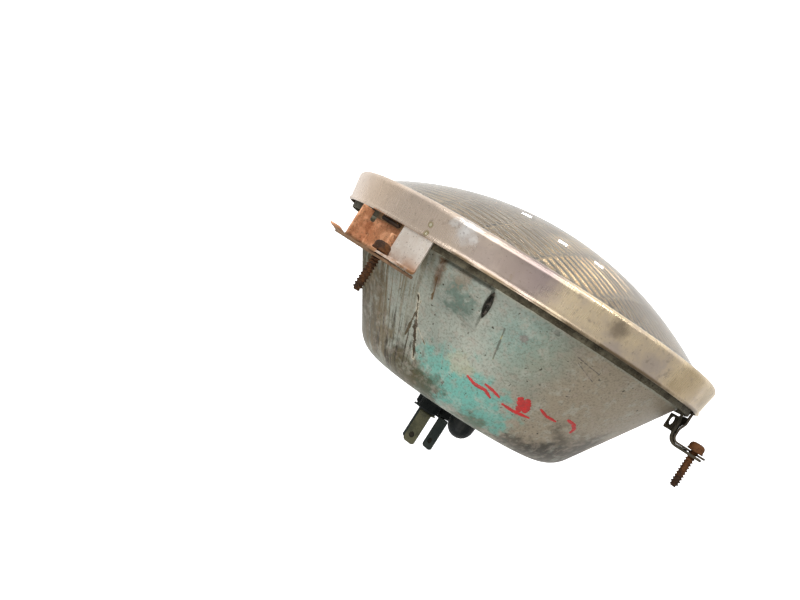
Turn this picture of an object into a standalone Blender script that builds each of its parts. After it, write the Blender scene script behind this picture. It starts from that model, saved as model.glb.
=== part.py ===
"""Round 7-inch sealed-beam car headlamp, held between its retaining ring and its mounting ring.

The lamp's axis is Y: the lens faces -Y and the terminals point to +Y. The origin is on the axis,
in the plane of the rear faces of the three mounting feet. Everything is in metres.
"""
import math

import bmesh
import bpy
from mathutils import Matrix, Vector

# ---------------------------------------------------------------- driving dimensions
GAP = 0.0003                      # clearance between pieces that touch

ROUND_STEPS = 72                  # sides of the big turned pieces
SMALL_STEPS = 24                  # sides of the small turned pieces
BEND_STEPS = 4                    # facets of a bend in sheet metal

FRONT_PLANE = -0.030              # front face of the retaining ring
BAND_REAR = -0.0161               # rear edge of the ring's band
BAND_FRONT_RADIUS = 0.0930        # outside of the band at its front
BAND_REAR_RADIUS = 0.0914         # outside of the band at its rear
BAND_SHEET = 0.0008
BAND_ROUNDING = 0.0026            # outer radius between band and front face
LIP_RADIUS = 0.0854               # inner edge of the ring's front face
HEM_DEPTH = 0.0011                # folded hem along the band's rear edge
HEM_HEIGHT = 0.0004

FLANGE_RADIUS = 0.0886            # rim of the glass
DOME_RADIUS = 0.0848              # where the lens leaves the ring
LENS_APEX = -0.0551
LENS_WALL = 0.0040
LENS_STEP = -0.0287               # front of the lens's rim, under the ring's lip
GLASS_SEAM = -0.0229              # front of the reflector's rim
GLASS_RIM_REAR = -0.0188

CONE_FRONT = (0.0830, -0.0140)    # radius and place of the front end of the bowl's conical side
CONE_SLOPE = 0.622                # loss of radius for each metre towards the rear
BOWL_REAR = 0.0382                # flat back of the bowl
SHOULDER_RADIUS = 0.0160
BOWL_WALL = 0.0036
BOWL_THROAT = 0.0812              # inside radius of the bowl's rim
LUG_ANGLES = (-15.2, 104.8, 224.8)
LUG_WIDTH = 0.0212
LUG_STAND = 0.0022                # how far a seating lug stands off the cone
LUG_SPAN = (-0.0130, -0.0010)
LUG_FRONT_SHARE = 0.3             # part of the stand that is left at a lug's front edge
LUG_SUNK = 0.0020                 # how far a lug reaches into the wall

SEAT_FRONT = -0.0185              # mounting ring: front face of its flange
SEAT_REAR = -0.0137               # mounting ring: rear edge of its rim
SEAT_RADIUS = 0.0886
SEAT_INNER = 0.0846
SEAT_SHEET = 0.0010

STRAP_ANGLES = (-31.0, 78.6, 202.5)
STRAP_WIDTH = 0.0160
STRAP_SHEET = 0.0009
STRAP_FRONT = -0.0215
STRAP_PLANE = 0.08945             # middle of the strap's sheet where it hangs from the band
STRAP_JOGGLE = 0.0882             # middle of the stepped strap's sheet just before its foot
STRAP_STEP = (-0.0105, -0.0072)   # where that strap steps in
STRAP_FOOT_END = 0.1035
STRAP_BEND = 0.0024               # stepped strap: radius at the middle of the sheet
STRAP_TIGHT_BEND = 0.0014         # straight straps: the same
STRAP_CORNER = 0.0035             # rounding of a foot's corners

BRACKET_SHEET = 0.0012
BRACKET_INNER = 0.0861            # middle of the narrow bracket's sheet inside the mounting ring
BRACKET_JOGGLE = 0.0867
BRACKET_STEP = (-0.0128, -0.0098)
BRACKET_FOOT_END = 0.1024
BRACKET_FRONT = -0.0170
FOOT_OUTLINE = ((-0.0078, 0.0882), (-0.0078, 0.1000), (-0.0048, 0.1030), (0.0255, 0.1012),
                (0.0309, 0.0975), (0.0319, 0.0945), (0.0295, 0.0855), (0.0230, 0.0815),
                (0.0120, 0.0842)) # wide bracket: its foot, sideways and outwards
CURL_START = 0.0317               # where the foot's far end curls forwards
CURL_LENGTH = 0.0066
CURL_SPAN = (0.0885, 0.0950)
CURL_ANGLE = 16.0
BOX_OFFSET = 12.9                 # degrees from the strap to the middle of a wide bracket's box
BOX_HALF_WIDTH = 0.0110
BOX_FLOOR = 0.0852                # wide bracket: inner face of its back plate
BOX_SIDE_FRONT = -0.0114
BOX_SIDE_OUTER = 0.0955
BOX_WEB_OUTER = 0.0915
BOX_CHEEK_FRONT = -0.0157         # front edge of the outer side wall's upper part
BOX_CHEEK_INNER = 0.0890
WING_LENGTH = 0.0086              # narrow bracket: its slanting wing
WING_SPAN = (-0.0124, -0.0050)
WING_SLANT = 30.0
WING_HOLE = 0.0020
WING_HOLE_PLACE = (-0.0052, -0.0092)

SCREW_CIRCLE = 0.0982             # radius of the circle that the three screws stand on
SCREW_SHIFT = 0.0047              # sideways place of a screw on its strap
SHANK_RADIUS = 0.0021
SHANK_END = 0.0145
HEAD_RADIUS = 0.0036
HEAD_HEIGHT = 0.0040
SLOT_WIDTH = 0.0048
RECESS_ARM = 0.0022               # cross recess in a screw's head
RECESS_HALF = 0.0005
RECESS_DEPTH = 0.0016
RECESS_TURN = 20.0

UP_ANGLE = 242.0                  # degrees round the axis from +Z to the lamp's upper side
BLADE_SPACING = 0.0178            # between the two parallel blades
CROSS_BLADE_RISE = 0.0075         # from their middle line to the blade across
TERMINAL_SHIFT = (0.0048, 0.0)    # middle of the terminal group in X and Z
FERRULE_RADIUS = 0.0056
FERRULE_TOP = 0.0466
FERRULE_COLLAR = 0.0030           # height of its wide lower part
FERRULE_STEP = 0.0007             # from that part in to the upper one
FERRULE_EDGE = 0.0009             # slope round its top
SPIGOT_RADIUS = 0.0032
BLADE_WIDTH = 0.0063
BLADE_SHEET = 0.0008
BLADE_FOOT = 0.0040
BLADE_TIP = 0.0632
LOW_BLADE_TWIST = 14.0            # one of the parallel pair stands turned on its ferrule
BLADE_HOLE = 0.0014
BLADE_NOSE = 0.0015
BLADE_HOLE_DROP = 0.0040          # from the tip to the middle of the hole
EXHAUST_DROP = 0.0138             # from the terminal group down to the exhaust tip
EXHAUST_RADIUS = 0.0062
EXHAUST_FOOT_RADIUS = 0.0067
EXHAUST_TOP = 0.0497

LEAD_RADIUS = 0.0006
LEAD_TIP = 0.0100                 # where the filaments sit along the axis
LEAD_SPREAD = 0.6                 # how far out the tips stand, as a share of the roots
FILAMENT_RADIUS = 0.0009
FILAMENT_START = 0.0012           # clear of its own lead
FILAMENT_ENDS = (("low", 0.0012), ("high", 0.0036))


# ---------------------------------------------------------------- helpers
def finish_material(name, colour, metallic, roughness, transmission=0.0):
    """A plain Principled material."""
    material = bpy.data.materials.new(name)
    material.use_nodes = True
    shader = material.node_tree.nodes["Principled BSDF"]
    shader.inputs["Base Color"].default_value = (*colour, 1.0)
    shader.inputs["Metallic"].default_value = metallic
    shader.inputs["Roughness"].default_value = roughness
    shader.inputs["Transmission Weight"].default_value = transmission
    material.diffuse_color = (*colour, 1.0)
    return material


def place(name, shape, material, origin=(0.0, 0.0, 0.0), turn=None):
    """Makes an object of a bmesh, with its origin at the given point."""
    if turn is not None:
        bmesh.ops.transform(shape, matrix=turn, verts=shape.verts)
    bmesh.ops.translate(shape, vec=-Vector(origin), verts=shape.verts)
    bmesh.ops.recalc_face_normals(shape, faces=shape.faces)
    mesh = bpy.data.meshes.new(name)
    shape.to_mesh(mesh)
    shape.free()
    mesh.shade_smooth()
    mesh.set_sharp_from_angle(angle=math.radians(30.0))
    thing = bpy.data.objects.new(name, mesh)
    thing.location = origin
    bpy.context.scene.collection.objects.link(thing)
    if material is not None:
        mesh.materials.append(material)
    return thing


def combine(thing, tool_shape, operation, turn=None):
    """Adds or cuts a shape with a Boolean, and hides the tool."""
    tool = place(f"tool_{operation.lower()}_{len(bpy.data.objects)}", tool_shape, None, turn=turn)
    tool.hide_render = True
    tool.display_type = "WIRE"
    modifier = thing.modifiers.new(operation.title(), "BOOLEAN")
    modifier.operation = operation
    modifier.solver = "EXACT"
    modifier.object = tool


def around(angle):
    """Turns a piece made at +Z to its angle round the lamp's axis, in degrees."""
    return Matrix.Rotation(-math.radians(angle), 4, "Y")


def turned(outline, steps):
    """Turns a closed outline of (radius, y) points round the Y axis."""
    shape = bmesh.new()
    rings = []
    for radius, y in outline:
        if radius == 0.0:
            rings.append([shape.verts.new((0.0, y, 0.0))])
            continue
        ring = []
        for step in range(steps):
            angle = 2.0 * math.pi * step / steps
            ring.append(shape.verts.new((radius * math.sin(angle), y, radius * math.cos(angle))))
        rings.append(ring)
    for one, two in zip(rings, rings[1:] + rings[:1]):
        if len(one) == 1 and len(two) == 1:
            continue
        for step in range(steps):
            after = (step + 1) % steps
            if len(one) == 1:
                shape.faces.new((one[0], two[after], two[step]))
            elif len(two) == 1:
                shape.faces.new((one[step], one[after], two[0]))
            else:
                shape.faces.new((one[step], one[after], two[after], two[step]))
    return shape


def arc(centre, radius, start, end, steps):
    """Points on an arc, in degrees from the first coordinate's direction."""
    points = []
    for step in range(steps + 1):
        angle = math.radians(start + (end - start) * step / steps)
        points.append((centre[0] + radius * math.cos(angle), centre[1] + radius * math.sin(angle)))
    return points


def block(x_span, y_span, z_span):
    """A box between the given limits."""
    shape = bmesh.new()
    bmesh.ops.create_cube(shape, size=1.0)
    size = Vector((x_span[1] - x_span[0], y_span[1] - y_span[0], z_span[1] - z_span[0]))
    middle = Vector((sum(x_span), sum(y_span), sum(z_span))) / 2.0
    matrix = Matrix.Translation(middle) @ Matrix.Diagonal((*size, 1.0))
    bmesh.ops.transform(shape, matrix=matrix, verts=shape.verts)
    return shape


def prism(outline, low, high, axis):
    """Pushes a closed flat outline along one axis. The outline holds the other two coordinates in order."""
    def point(pair, depth):
        values = list(pair)
        values.insert(axis, depth)
        return values

    shape = bmesh.new()
    bottom = [shape.verts.new(point(pair, low)) for pair in outline]
    top = [shape.verts.new(point(pair, high)) for pair in outline]
    shape.faces.new(bottom)
    shape.faces.new(top)
    for step in range(len(outline)):
        after = (step + 1) % len(outline)
        shape.faces.new((bottom[step], bottom[after], top[after], top[step]))
    return shape


def rounded(points, radius):
    """Rounds the inner corners of an open path."""
    path = [Vector(points[0])]
    for before, corner, after in zip(points, points[1:], points[2:]):
        corner = Vector(corner)
        back = (Vector(before) - corner).normalized()
        ahead = (Vector(after) - corner).normalized()
        half = back.angle(ahead) / 2.0
        reach = radius / math.tan(half)
        centre = corner + (back + ahead).normalized() * radius / math.sin(half)
        first = corner + back * reach - centre
        last = corner + ahead * reach - centre
        for step in range(BEND_STEPS + 1):
            spoke = first.lerp(last, step / BEND_STEPS).normalized() * radius
            path.append(centre + spoke)
    path.append(Vector(points[-1]))
    return path


def strip(path, sheet):
    """Closed outline of a sheet of even thickness whose middle follows a path."""
    left, right = [], []
    for index, point in enumerate(path):
        before = path[max(index - 1, 0)]
        after = path[min(index + 1, len(path) - 1)]
        if 0 < index < len(path) - 1:
            incoming = (point - before).normalized()
            outgoing = (after - point).normalized()
            along = (incoming + outgoing).normalized()
            stretch = 1.0 / max(along.dot(outgoing), 0.5)
        else:
            along = (after - before).normalized()
            stretch = 1.0
        normal = Vector((-along.y, along.x)) * sheet / 2.0 * stretch
        left.append(point + normal)
        right.append(point - normal)
    return [tuple(point) for point in left + right[::-1]]


def post(radius, low, high, steps, x=0.0, z=0.0):
    """A cylinder along Y."""
    shape = turned([(0.0, low), (radius, low), (radius, high), (0.0, high)], steps)
    bmesh.ops.translate(shape, vec=(x, 0.0, z), verts=shape.verts)
    return shape


def cone_radius(y, inset=0.0):
    """Radius of the bowl's conical side at a place along the axis, inset square to the wall."""
    slant = math.hypot(1.0, CONE_SLOPE)
    return CONE_FRONT[0] - CONE_SLOPE * (y - CONE_FRONT[1]) - inset * slant


# ---------------------------------------------------------------- glass
def shoulder(radius, rear, inset):
    """The rounded stretch between the conical side and the flat back."""
    lean = math.degrees(math.atan(CONE_SLOPE))
    slant = math.hypot(1.0, CONE_SLOPE)
    centre_y = rear - radius
    centre_r = cone_radius(centre_y, inset) - radius * slant
    return arc((centre_r, centre_y), radius, lean, 90.0, 8)


def make_reflector_bowl(material, sockets):
    outside = [(FLANGE_RADIUS, GLASS_SEAM), (FLANGE_RADIUS, GLASS_RIM_REAR),
               (CONE_FRONT[0] + 0.0013, GLASS_RIM_REAR), (CONE_FRONT[0] + 0.0006, -0.0174), CONE_FRONT]
    outside += shoulder(SHOULDER_RADIUS, BOWL_REAR, 0.0)
    inner_rear = BOWL_REAR - BOWL_WALL
    inside = [(0.0, BOWL_REAR), (0.0, inner_rear)]
    inside += shoulder(SHOULDER_RADIUS - BOWL_WALL, inner_rear, BOWL_WALL)[::-1]
    throat_y = CONE_FRONT[1] + (cone_radius(CONE_FRONT[1], BOWL_WALL) - BOWL_THROAT) / CONE_SLOPE
    inside += [(BOWL_THROAT, throat_y), (BOWL_THROAT, GLASS_SEAM)]
    bowl = place("reflector_bowl", turned(outside + inside, ROUND_STEPS), material)
    front, rear = LUG_SPAN
    lug_outline = [(front, cone_radius(front) - LUG_SUNK), (rear, cone_radius(rear) - LUG_SUNK),
                   (rear, cone_radius(rear) + LUG_STAND),
                   (front, cone_radius(front) + LUG_STAND * LUG_FRONT_SHARE)]
    for angle in LUG_ANGLES:
        combine(bowl, prism(lug_outline, -LUG_WIDTH / 2.0, LUG_WIDTH / 2.0, 0), "UNION", around(angle))
    for x, z in sockets:
        hole = post(SPIGOT_RADIUS + GAP, inner_rear - 0.002, BOWL_REAR + 0.002, SMALL_STEPS, x, z)
        combine(bowl, hole, "DIFFERENCE")
    return bowl


def make_lens(material):
    def dome(apex, edge_radius, edge_y, steps):
        sag = edge_y - apex
        sphere = (edge_radius ** 2 + sag ** 2) / (2.0 * sag)
        widest = math.asin(edge_radius / sphere)
        points = []
        for step in range(steps + 1):
            angle = widest * step / steps
            points.append((sphere * math.sin(angle), apex + sphere * (1.0 - math.cos(angle))))
        points[0] = (0.0, apex)
        return points

    rear = GLASS_SEAM - GAP
    outline = dome(LENS_APEX, DOME_RADIUS, FRONT_PLANE + 0.0004, 8)
    outline += [(DOME_RADIUS, LENS_STEP), (FLANGE_RADIUS, LENS_STEP), (FLANGE_RADIUS, rear)]
    inner_edge = DOME_RADIUS - LENS_WALL
    outline += [(inner_edge, rear)]
    outline += dome(LENS_APEX + LENS_WALL, inner_edge, FRONT_PLANE + LENS_WALL, 8)[::-1]
    return place("lens", turned(outline, ROUND_STEPS), material)


def make_exhaust_tip(material, x, z):
    low = BOWL_REAR + GAP
    bulge = arc((0.0, EXHAUST_TOP - EXHAUST_RADIUS), EXHAUST_RADIUS, 0.0, 90.0, 6)
    bulge[-1] = (0.0, EXHAUST_TOP)
    shape = turned([(0.0, low), (EXHAUST_FOOT_RADIUS, low)] + bulge, SMALL_STEPS)
    bmesh.ops.translate(shape, vec=(x, 0.0, z), verts=shape.verts)
    return place("exhaust_tip", shape, material, origin=(x, low, z))


# ---------------------------------------------------------------- retaining ring and its straps
def make_retaining_ring(material):
    taper = math.degrees(math.atan((BAND_FRONT_RADIUS - BAND_REAR_RADIUS) / (BAND_REAR - FRONT_PLANE)))
    bend = (BAND_FRONT_RADIUS - BAND_ROUNDING, FRONT_PLANE + BAND_ROUNDING)
    inner_bend = BAND_ROUNDING - BAND_SHEET
    outside = [(BAND_REAR_RADIUS + HEM_HEIGHT, BAND_REAR),
               (BAND_REAR_RADIUS + HEM_HEIGHT, BAND_REAR - HEM_DEPTH),
               (BAND_REAR_RADIUS + HEM_HEIGHT / 2.0, BAND_REAR - HEM_DEPTH * 1.5)]
    outside += arc(bend, BAND_ROUNDING, taper, -90.0, 6)
    inside = [(LIP_RADIUS, FRONT_PLANE), (LIP_RADIUS, FRONT_PLANE + BAND_SHEET)]
    inside += arc(bend, inner_bend, -90.0, taper, 4)
    inside += [(BAND_REAR_RADIUS - BAND_SHEET, BAND_REAR)]
    return place("retaining_ring", turned(outside + inside, ROUND_STEPS), material)


def make_strap(number, angle, material, stepped):
    """Stainless strap: it hangs from the band and turns out into a foot whose slot is open on one side."""
    foot_plane = -(BRACKET_SHEET + GAP + STRAP_SHEET / 2.0)
    if stepped:
        corners = [(STRAP_FRONT, STRAP_PLANE), (STRAP_STEP[0], STRAP_PLANE), (STRAP_STEP[1], STRAP_JOGGLE),
                   (foot_plane, STRAP_JOGGLE), (foot_plane, STRAP_FOOT_END)]
        path = rounded(corners, STRAP_BEND)
    else:
        corners = [(STRAP_FRONT, STRAP_PLANE), (foot_plane, STRAP_PLANE), (foot_plane, STRAP_FOOT_END)]
        path = rounded(corners, STRAP_TIGHT_BEND)
    outline = strip(path, STRAP_SHEET)
    half = STRAP_WIDTH / 2.0
    strap = place(f"strap_{number}", prism(outline, -half, half, 0), material, turn=around(angle))
    low, high = foot_plane - 0.002, foot_plane + 0.002
    past = half + 0.001
    slot = arc((SCREW_SHIFT, SCREW_CIRCLE), SLOT_WIDTH / 2.0, 90.0, 270.0, 8)
    slot += [(past, SCREW_CIRCLE - SLOT_WIDTH / 2.0), (past, SCREW_CIRCLE + SLOT_WIDTH / 2.0)]
    combine(strap, prism(slot, low, high, 1), "DIFFERENCE", around(angle))
    for side in (-1.0, 1.0):
        start = 180.0 if side < 0.0 else 0.0
        centre = (side * (half - STRAP_CORNER), STRAP_FOOT_END - STRAP_CORNER)
        corner = arc(centre, STRAP_CORNER, start, 90.0, 5)
        corner[0] = (side * past, centre[1])
        corner += [(centre[0], STRAP_FOOT_END + 0.001), (side * past, STRAP_FOOT_END + 0.001)]
        combine(strap, prism(corner, low, high, 1), "DIFFERENCE", around(angle))
    return strap


# ---------------------------------------------------------------- mounting ring and its brackets
def make_mounting_ring(material):
    outline = [(SEAT_RADIUS, SEAT_FRONT), (SEAT_RADIUS, SEAT_REAR), (SEAT_RADIUS - SEAT_SHEET, SEAT_REAR),
               (SEAT_RADIUS - SEAT_SHEET, SEAT_FRONT + SEAT_SHEET), (SEAT_INNER, SEAT_FRONT + SEAT_SHEET),
               (SEAT_INNER, SEAT_FRONT)]
    return place("mounting_ring", turned(outline, ROUND_STEPS), material)


def screw_hole(bracket, angle):
    hole = post(SLOT_WIDTH / 2.0, -0.004, 0.003, SMALL_STEPS, SCREW_SHIFT, SCREW_CIRCLE)
    combine(bracket, hole, "DIFFERENCE", around(angle))


def make_wide_bracket(number, angle, material):
    """Box-shaped bracket: a foot under the strap, a back plate beside it and two side walls."""
    foot = prism(FOOT_OUTLINE, -BRACKET_SHEET, 0.0, 1)
    bracket = place(f"bracket_{number}", foot, material, turn=around(angle))
    box_turn = around(angle - BOX_OFFSET)
    sheet = BRACKET_SHEET
    half = BOX_HALF_WIDTH
    edge = half - sheet / 4.0
    back = block((-edge, edge), (BRACKET_FRONT, -sheet * 0.4), (BOX_FLOOR, BOX_FLOOR + sheet))
    combine(bracket, back, "UNION", box_turn)
    floor = BOX_FLOOR + sheet / 4.0
    left_wall = block((half - sheet, half), (BOX_SIDE_FRONT, -sheet * 0.5), (floor, BOX_SIDE_OUTER))
    combine(bracket, left_wall, "UNION", box_turn)
    right_wall = block((-half, sheet - half), (BOX_SIDE_FRONT, -sheet * 0.6), (floor, BOX_WEB_OUTER))
    combine(bracket, right_wall, "UNION", box_turn)
    cheek = block((half - sheet * 0.9, half - sheet * 0.1), (BOX_CHEEK_FRONT, BOX_SIDE_FRONT + sheet),
                  (BOX_CHEEK_INNER, BOX_SIDE_OUTER - sheet * 0.1))
    combine(bracket, cheek, "UNION", box_turn)
    curl = block((-sheet * 0.4, CURL_LENGTH), (-sheet * 0.4, sheet * 0.4), CURL_SPAN)
    curl_turn = (around(angle) @ Matrix.Translation((CURL_START, -sheet * 0.55, 0.0))
                 @ Matrix.Rotation(-math.radians(CURL_ANGLE), 4, "Z"))
    combine(bracket, curl, "UNION", curl_turn)
    screw_hole(bracket, angle)
    return bracket


def make_narrow_bracket(number, angle, material):
    """Bent strip under the strap, with a slanting wing that carries a hole."""
    foot_plane = -BRACKET_SHEET / 2.0
    corners = [(BRACKET_FRONT, BRACKET_INNER), (BRACKET_STEP[0], BRACKET_INNER),
               (BRACKET_STEP[1], BRACKET_JOGGLE),
               (foot_plane, BRACKET_JOGGLE), (foot_plane, BRACKET_FOOT_END)]
    bend = STRAP_BEND + STRAP_SHEET / 2.0 + GAP + BRACKET_SHEET / 2.0
    outline = strip(rounded(corners, bend), BRACKET_SHEET)
    half = STRAP_WIDTH / 2.0
    bracket = place(f"bracket_{number}", prism(outline, -half, half, 0), material, turn=around(angle))
    sheet = BRACKET_SHEET
    wing_turn = (around(angle) @ Matrix.Translation((-half + 0.0010, 0.0, BRACKET_INNER + 0.0003))
                 @ Matrix.Rotation(-math.radians(WING_SLANT), 4, "Y"))
    wing = block((-WING_LENGTH, 0.0), WING_SPAN, (-sheet / 2.0, sheet / 2.0))
    combine(bracket, wing, "UNION", wing_turn)
    reach = 0.004
    wing_hole = turned([(0.0, -reach), (WING_HOLE, -reach), (WING_HOLE, reach), (0.0, reach)], SMALL_STEPS)
    upright = Matrix.Translation((*WING_HOLE_PLACE, 0.0)) @ Matrix.Rotation(math.radians(90.0), 4, "X")
    combine(bracket, wing_hole, "DIFFERENCE", wing_turn @ upright)
    screw_hole(bracket, angle)
    return bracket


# ---------------------------------------------------------------- screws
def make_screw(number, angle, material):
    seat = -(BRACKET_SHEET + STRAP_SHEET + 2.0 * GAP)
    top = seat - HEAD_HEIGHT
    head = [(0.0, top), (HEAD_RADIUS * 0.55, top), (HEAD_RADIUS * 0.88, top + HEAD_HEIGHT * 0.22),
            (HEAD_RADIUS, top + HEAD_HEIGHT * 0.65), (HEAD_RADIUS, seat)]
    shank = [(SHANK_RADIUS, seat), (SHANK_RADIUS, SHANK_END - 0.0008), (SHANK_RADIUS * 0.75, SHANK_END),
             (0.0, SHANK_END)]
    centre = around(angle) @ Vector((SCREW_SHIFT, 0.0, SCREW_CIRCLE))
    shape = turned(head + shank, SMALL_STEPS)
    bmesh.ops.translate(shape, vec=centre, verts=shape.verts)
    screw = place(f"retaining_screw_{number}", shape, material, origin=centre)
    for quarter in (0.0, 90.0):
        bar = block((-RECESS_ARM, RECESS_ARM), (top - 0.001, top + RECESS_DEPTH), (-RECESS_HALF, RECESS_HALF))
        turn = Matrix.Translation(centre) @ around(angle + quarter + RECESS_TURN)
        combine(screw, bar, "DIFFERENCE", turn)
    return screw


# ---------------------------------------------------------------- terminals, leads and filaments
def make_ferrule(name, material, x, z):
    """Metal thimble that seals a lead into the glass."""
    low = BOWL_REAR + GAP
    inner = BOWL_REAR - BOWL_WALL
    neck = FERRULE_RADIUS - FERRULE_STEP
    collar = low + FERRULE_COLLAR
    outline = [(0.0, inner), (SPIGOT_RADIUS, inner), (SPIGOT_RADIUS, low), (FERRULE_RADIUS, low),
               (FERRULE_RADIUS, collar), (neck, collar + FERRULE_STEP),
               (neck, FERRULE_TOP - FERRULE_EDGE), (neck - FERRULE_EDGE, FERRULE_TOP),
               (0.0, FERRULE_TOP)]
    shape = turned(outline, SMALL_STEPS)
    bmesh.ops.translate(shape, vec=(x, 0.0, z), verts=shape.verts)
    return place(name, shape, material, origin=(x, 0.0, z))


def make_blade(name, material, x, z, angle):
    """Blade with a foot on its ferrule, a hole near its tip and a narrowed nose."""
    low = FERRULE_TOP + GAP
    half = BLADE_WIDTH / 2.0
    foot_plane = low + BLADE_SHEET / 2.0
    corners = [(foot_plane, BLADE_FOOT), (foot_plane, 0.0), (BLADE_TIP, 0.0)]
    outline = strip(rounded(corners, BLADE_SHEET), BLADE_SHEET)
    turn = Matrix.Translation((x, 0.0, z)) @ around(angle)
    blade = place(name, prism(outline, -half, half, 0), material, turn=turn)
    past = 0.0010
    for side in (-1.0, 1.0):
        corner = [(side * (half + past), BLADE_TIP - BLADE_NOSE * 1.8),
                  (side * (half - BLADE_NOSE * 0.25), BLADE_TIP - BLADE_NOSE * 0.35),
                  (side * (half - BLADE_NOSE * 1.2), BLADE_TIP + past * 0.3),
                  (side * (half + past), BLADE_TIP + past)]
        combine(blade, prism(corner, -past, past, 2), "DIFFERENCE", turn)
    hole = turned([(0.0, -past), (BLADE_HOLE, -past), (BLADE_HOLE, past), (0.0, past)], SMALL_STEPS)
    hole_place = Matrix.Translation((0.0, BLADE_TIP - BLADE_HOLE_DROP, 0.0))
    upright = hole_place @ Matrix.Rotation(math.radians(90.0), 4, "X")
    combine(blade, hole, "DIFFERENCE", turn @ upright)
    return blade


def rod(start, end, radius, steps):
    """A straight round bar between two points."""
    start, end = Vector(start), Vector(end)
    along = end - start
    shape = bmesh.new()
    bmesh.ops.create_cone(shape, cap_ends=True, segments=steps, radius1=radius, radius2=radius,
                          depth=along.length)
    facing = along.to_track_quat("Z", "Y").to_matrix().to_4x4()
    matrix = Matrix.Translation((start + end) / 2.0) @ facing
    bmesh.ops.transform(shape, matrix=matrix, verts=shape.verts)
    return shape


# ---------------------------------------------------------------- assembly
def build():
    for thing in list(bpy.data.objects):
        bpy.data.objects.remove(thing, do_unlink=True)

    clear_glass = finish_material("clear_glass", (0.78, 0.80, 0.78), 0.0, 0.08, 0.6)
    aged_glass = finish_material("aged_glass", (0.47, 0.55, 0.50), 0.2, 0.45)
    polished_steel = finish_material("polished_steel", (0.62, 0.58, 0.54), 1.0, 0.28)
    dull_steel = finish_material("dull_steel", (0.60, 0.58, 0.55), 0.9, 0.42)
    rusty_steel = finish_material("rusty_steel", (0.42, 0.20, 0.10), 0.2, 0.80)
    dark_rust = finish_material("dark_rust", (0.16, 0.08, 0.06), 0.2, 0.75)
    black_seal = finish_material("black_seal", (0.02, 0.02, 0.02), 0.0, 0.50)
    dull_brass = finish_material("dull_brass", (0.22, 0.20, 0.12), 0.7, 0.50)
    nickel_wire = finish_material("nickel_wire", (0.55, 0.54, 0.50), 1.0, 0.35)
    tungsten = finish_material("tungsten", (0.30, 0.30, 0.30), 1.0, 0.40)

    up = around(UP_ANGLE)
    middle = Vector((TERMINAL_SHIFT[0], 0.0, TERMINAL_SHIFT[1]))

    def from_middle(sideways, upwards):
        point = middle + up @ Vector((sideways, 0.0, upwards))
        return point.x, point.z

    pair = BLADE_SPACING / 2.0
    # name, place in X and Z, and the angle of the blade's face
    terminals = (("low", from_middle(pair, 0.0), UP_ANGLE + 90.0 - LOW_BLADE_TWIST),
                 ("ground", from_middle(-pair, 0.0), UP_ANGLE - 90.0),
                 ("high", from_middle(0.0, CROSS_BLADE_RISE), UP_ANGLE))

    make_lens(clear_glass)
    make_reflector_bowl(aged_glass, [spot for _, spot, _ in terminals])
    make_exhaust_tip(black_seal, *from_middle(0.0, -EXHAUST_DROP))
    make_retaining_ring(polished_steel)
    make_mounting_ring(rusty_steel)
    makers = (make_wide_bracket, make_narrow_bracket, make_wide_bracket)
    for number, (angle, make_bracket) in enumerate(zip(STRAP_ANGLES, makers), start=1):
        make_strap(number, angle, dull_steel, make_bracket is make_narrow_bracket)
        make_bracket(number, angle, rusty_steel)
        make_screw(number, angle, dark_rust)

    lead_start = BOWL_REAR - BOWL_WALL - GAP
    tips = {}
    for name, (x, z), angle in terminals:
        make_ferrule(f"terminal_ferrule_{name}", black_seal, x, z)
        make_blade(f"terminal_blade_{name}", dull_brass, x, z, angle)
        tips[name] = Vector((x * LEAD_SPREAD, LEAD_TIP, z * LEAD_SPREAD))
        shape = rod((x, lead_start, z), tips[name], LEAD_RADIUS, 8)
        place(f"lead_wire_{name}", shape, nickel_wire)
    aside = Vector((0.0, -(LEAD_RADIUS + FILAMENT_RADIUS + GAP), 0.0))
    for name, short in FILAMENT_ENDS:
        start, end = tips[name], tips["ground"]
        along = (end - start).normalized()
        shape = rod(start + along * FILAMENT_START + aside, end - along * short + aside, FILAMENT_RADIUS, 10)
        place(f"filament_{name}", shape, tungsten)


build()
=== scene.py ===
# %% [markdown]
# # An old sealed-beam headlamp
# This lesson dresses a round car headlamp that has been on a car for years. The lamp is a glass
# lens fused to a glass reflector, held in a polished steel ring, with a rusty mounting ring behind.
# A frame file already fixes where every piece sits, so each piece here is built where the frame says.

# %% Load the frame
import math

import bmesh
import bpy
import numpy as np
from mathutils import Matrix, Vector


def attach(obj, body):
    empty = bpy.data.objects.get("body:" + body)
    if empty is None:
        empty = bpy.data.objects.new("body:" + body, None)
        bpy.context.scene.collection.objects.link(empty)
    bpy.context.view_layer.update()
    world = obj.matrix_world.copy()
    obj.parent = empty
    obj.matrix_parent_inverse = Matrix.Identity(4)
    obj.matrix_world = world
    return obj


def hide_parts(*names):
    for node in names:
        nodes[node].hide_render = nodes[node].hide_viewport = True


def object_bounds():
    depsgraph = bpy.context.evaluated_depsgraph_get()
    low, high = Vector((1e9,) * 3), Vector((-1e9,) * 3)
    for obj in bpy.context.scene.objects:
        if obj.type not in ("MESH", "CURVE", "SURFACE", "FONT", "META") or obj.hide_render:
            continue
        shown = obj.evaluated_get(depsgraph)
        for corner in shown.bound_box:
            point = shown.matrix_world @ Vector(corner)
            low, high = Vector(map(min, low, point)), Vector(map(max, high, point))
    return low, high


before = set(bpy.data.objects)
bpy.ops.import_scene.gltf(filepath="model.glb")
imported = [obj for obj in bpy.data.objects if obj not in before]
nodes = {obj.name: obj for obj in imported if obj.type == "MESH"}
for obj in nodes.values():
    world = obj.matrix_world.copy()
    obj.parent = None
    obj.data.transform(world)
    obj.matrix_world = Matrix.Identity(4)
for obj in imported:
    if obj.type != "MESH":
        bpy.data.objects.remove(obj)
cad_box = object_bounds()
print("pieces in the frame:", len(nodes))

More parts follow.
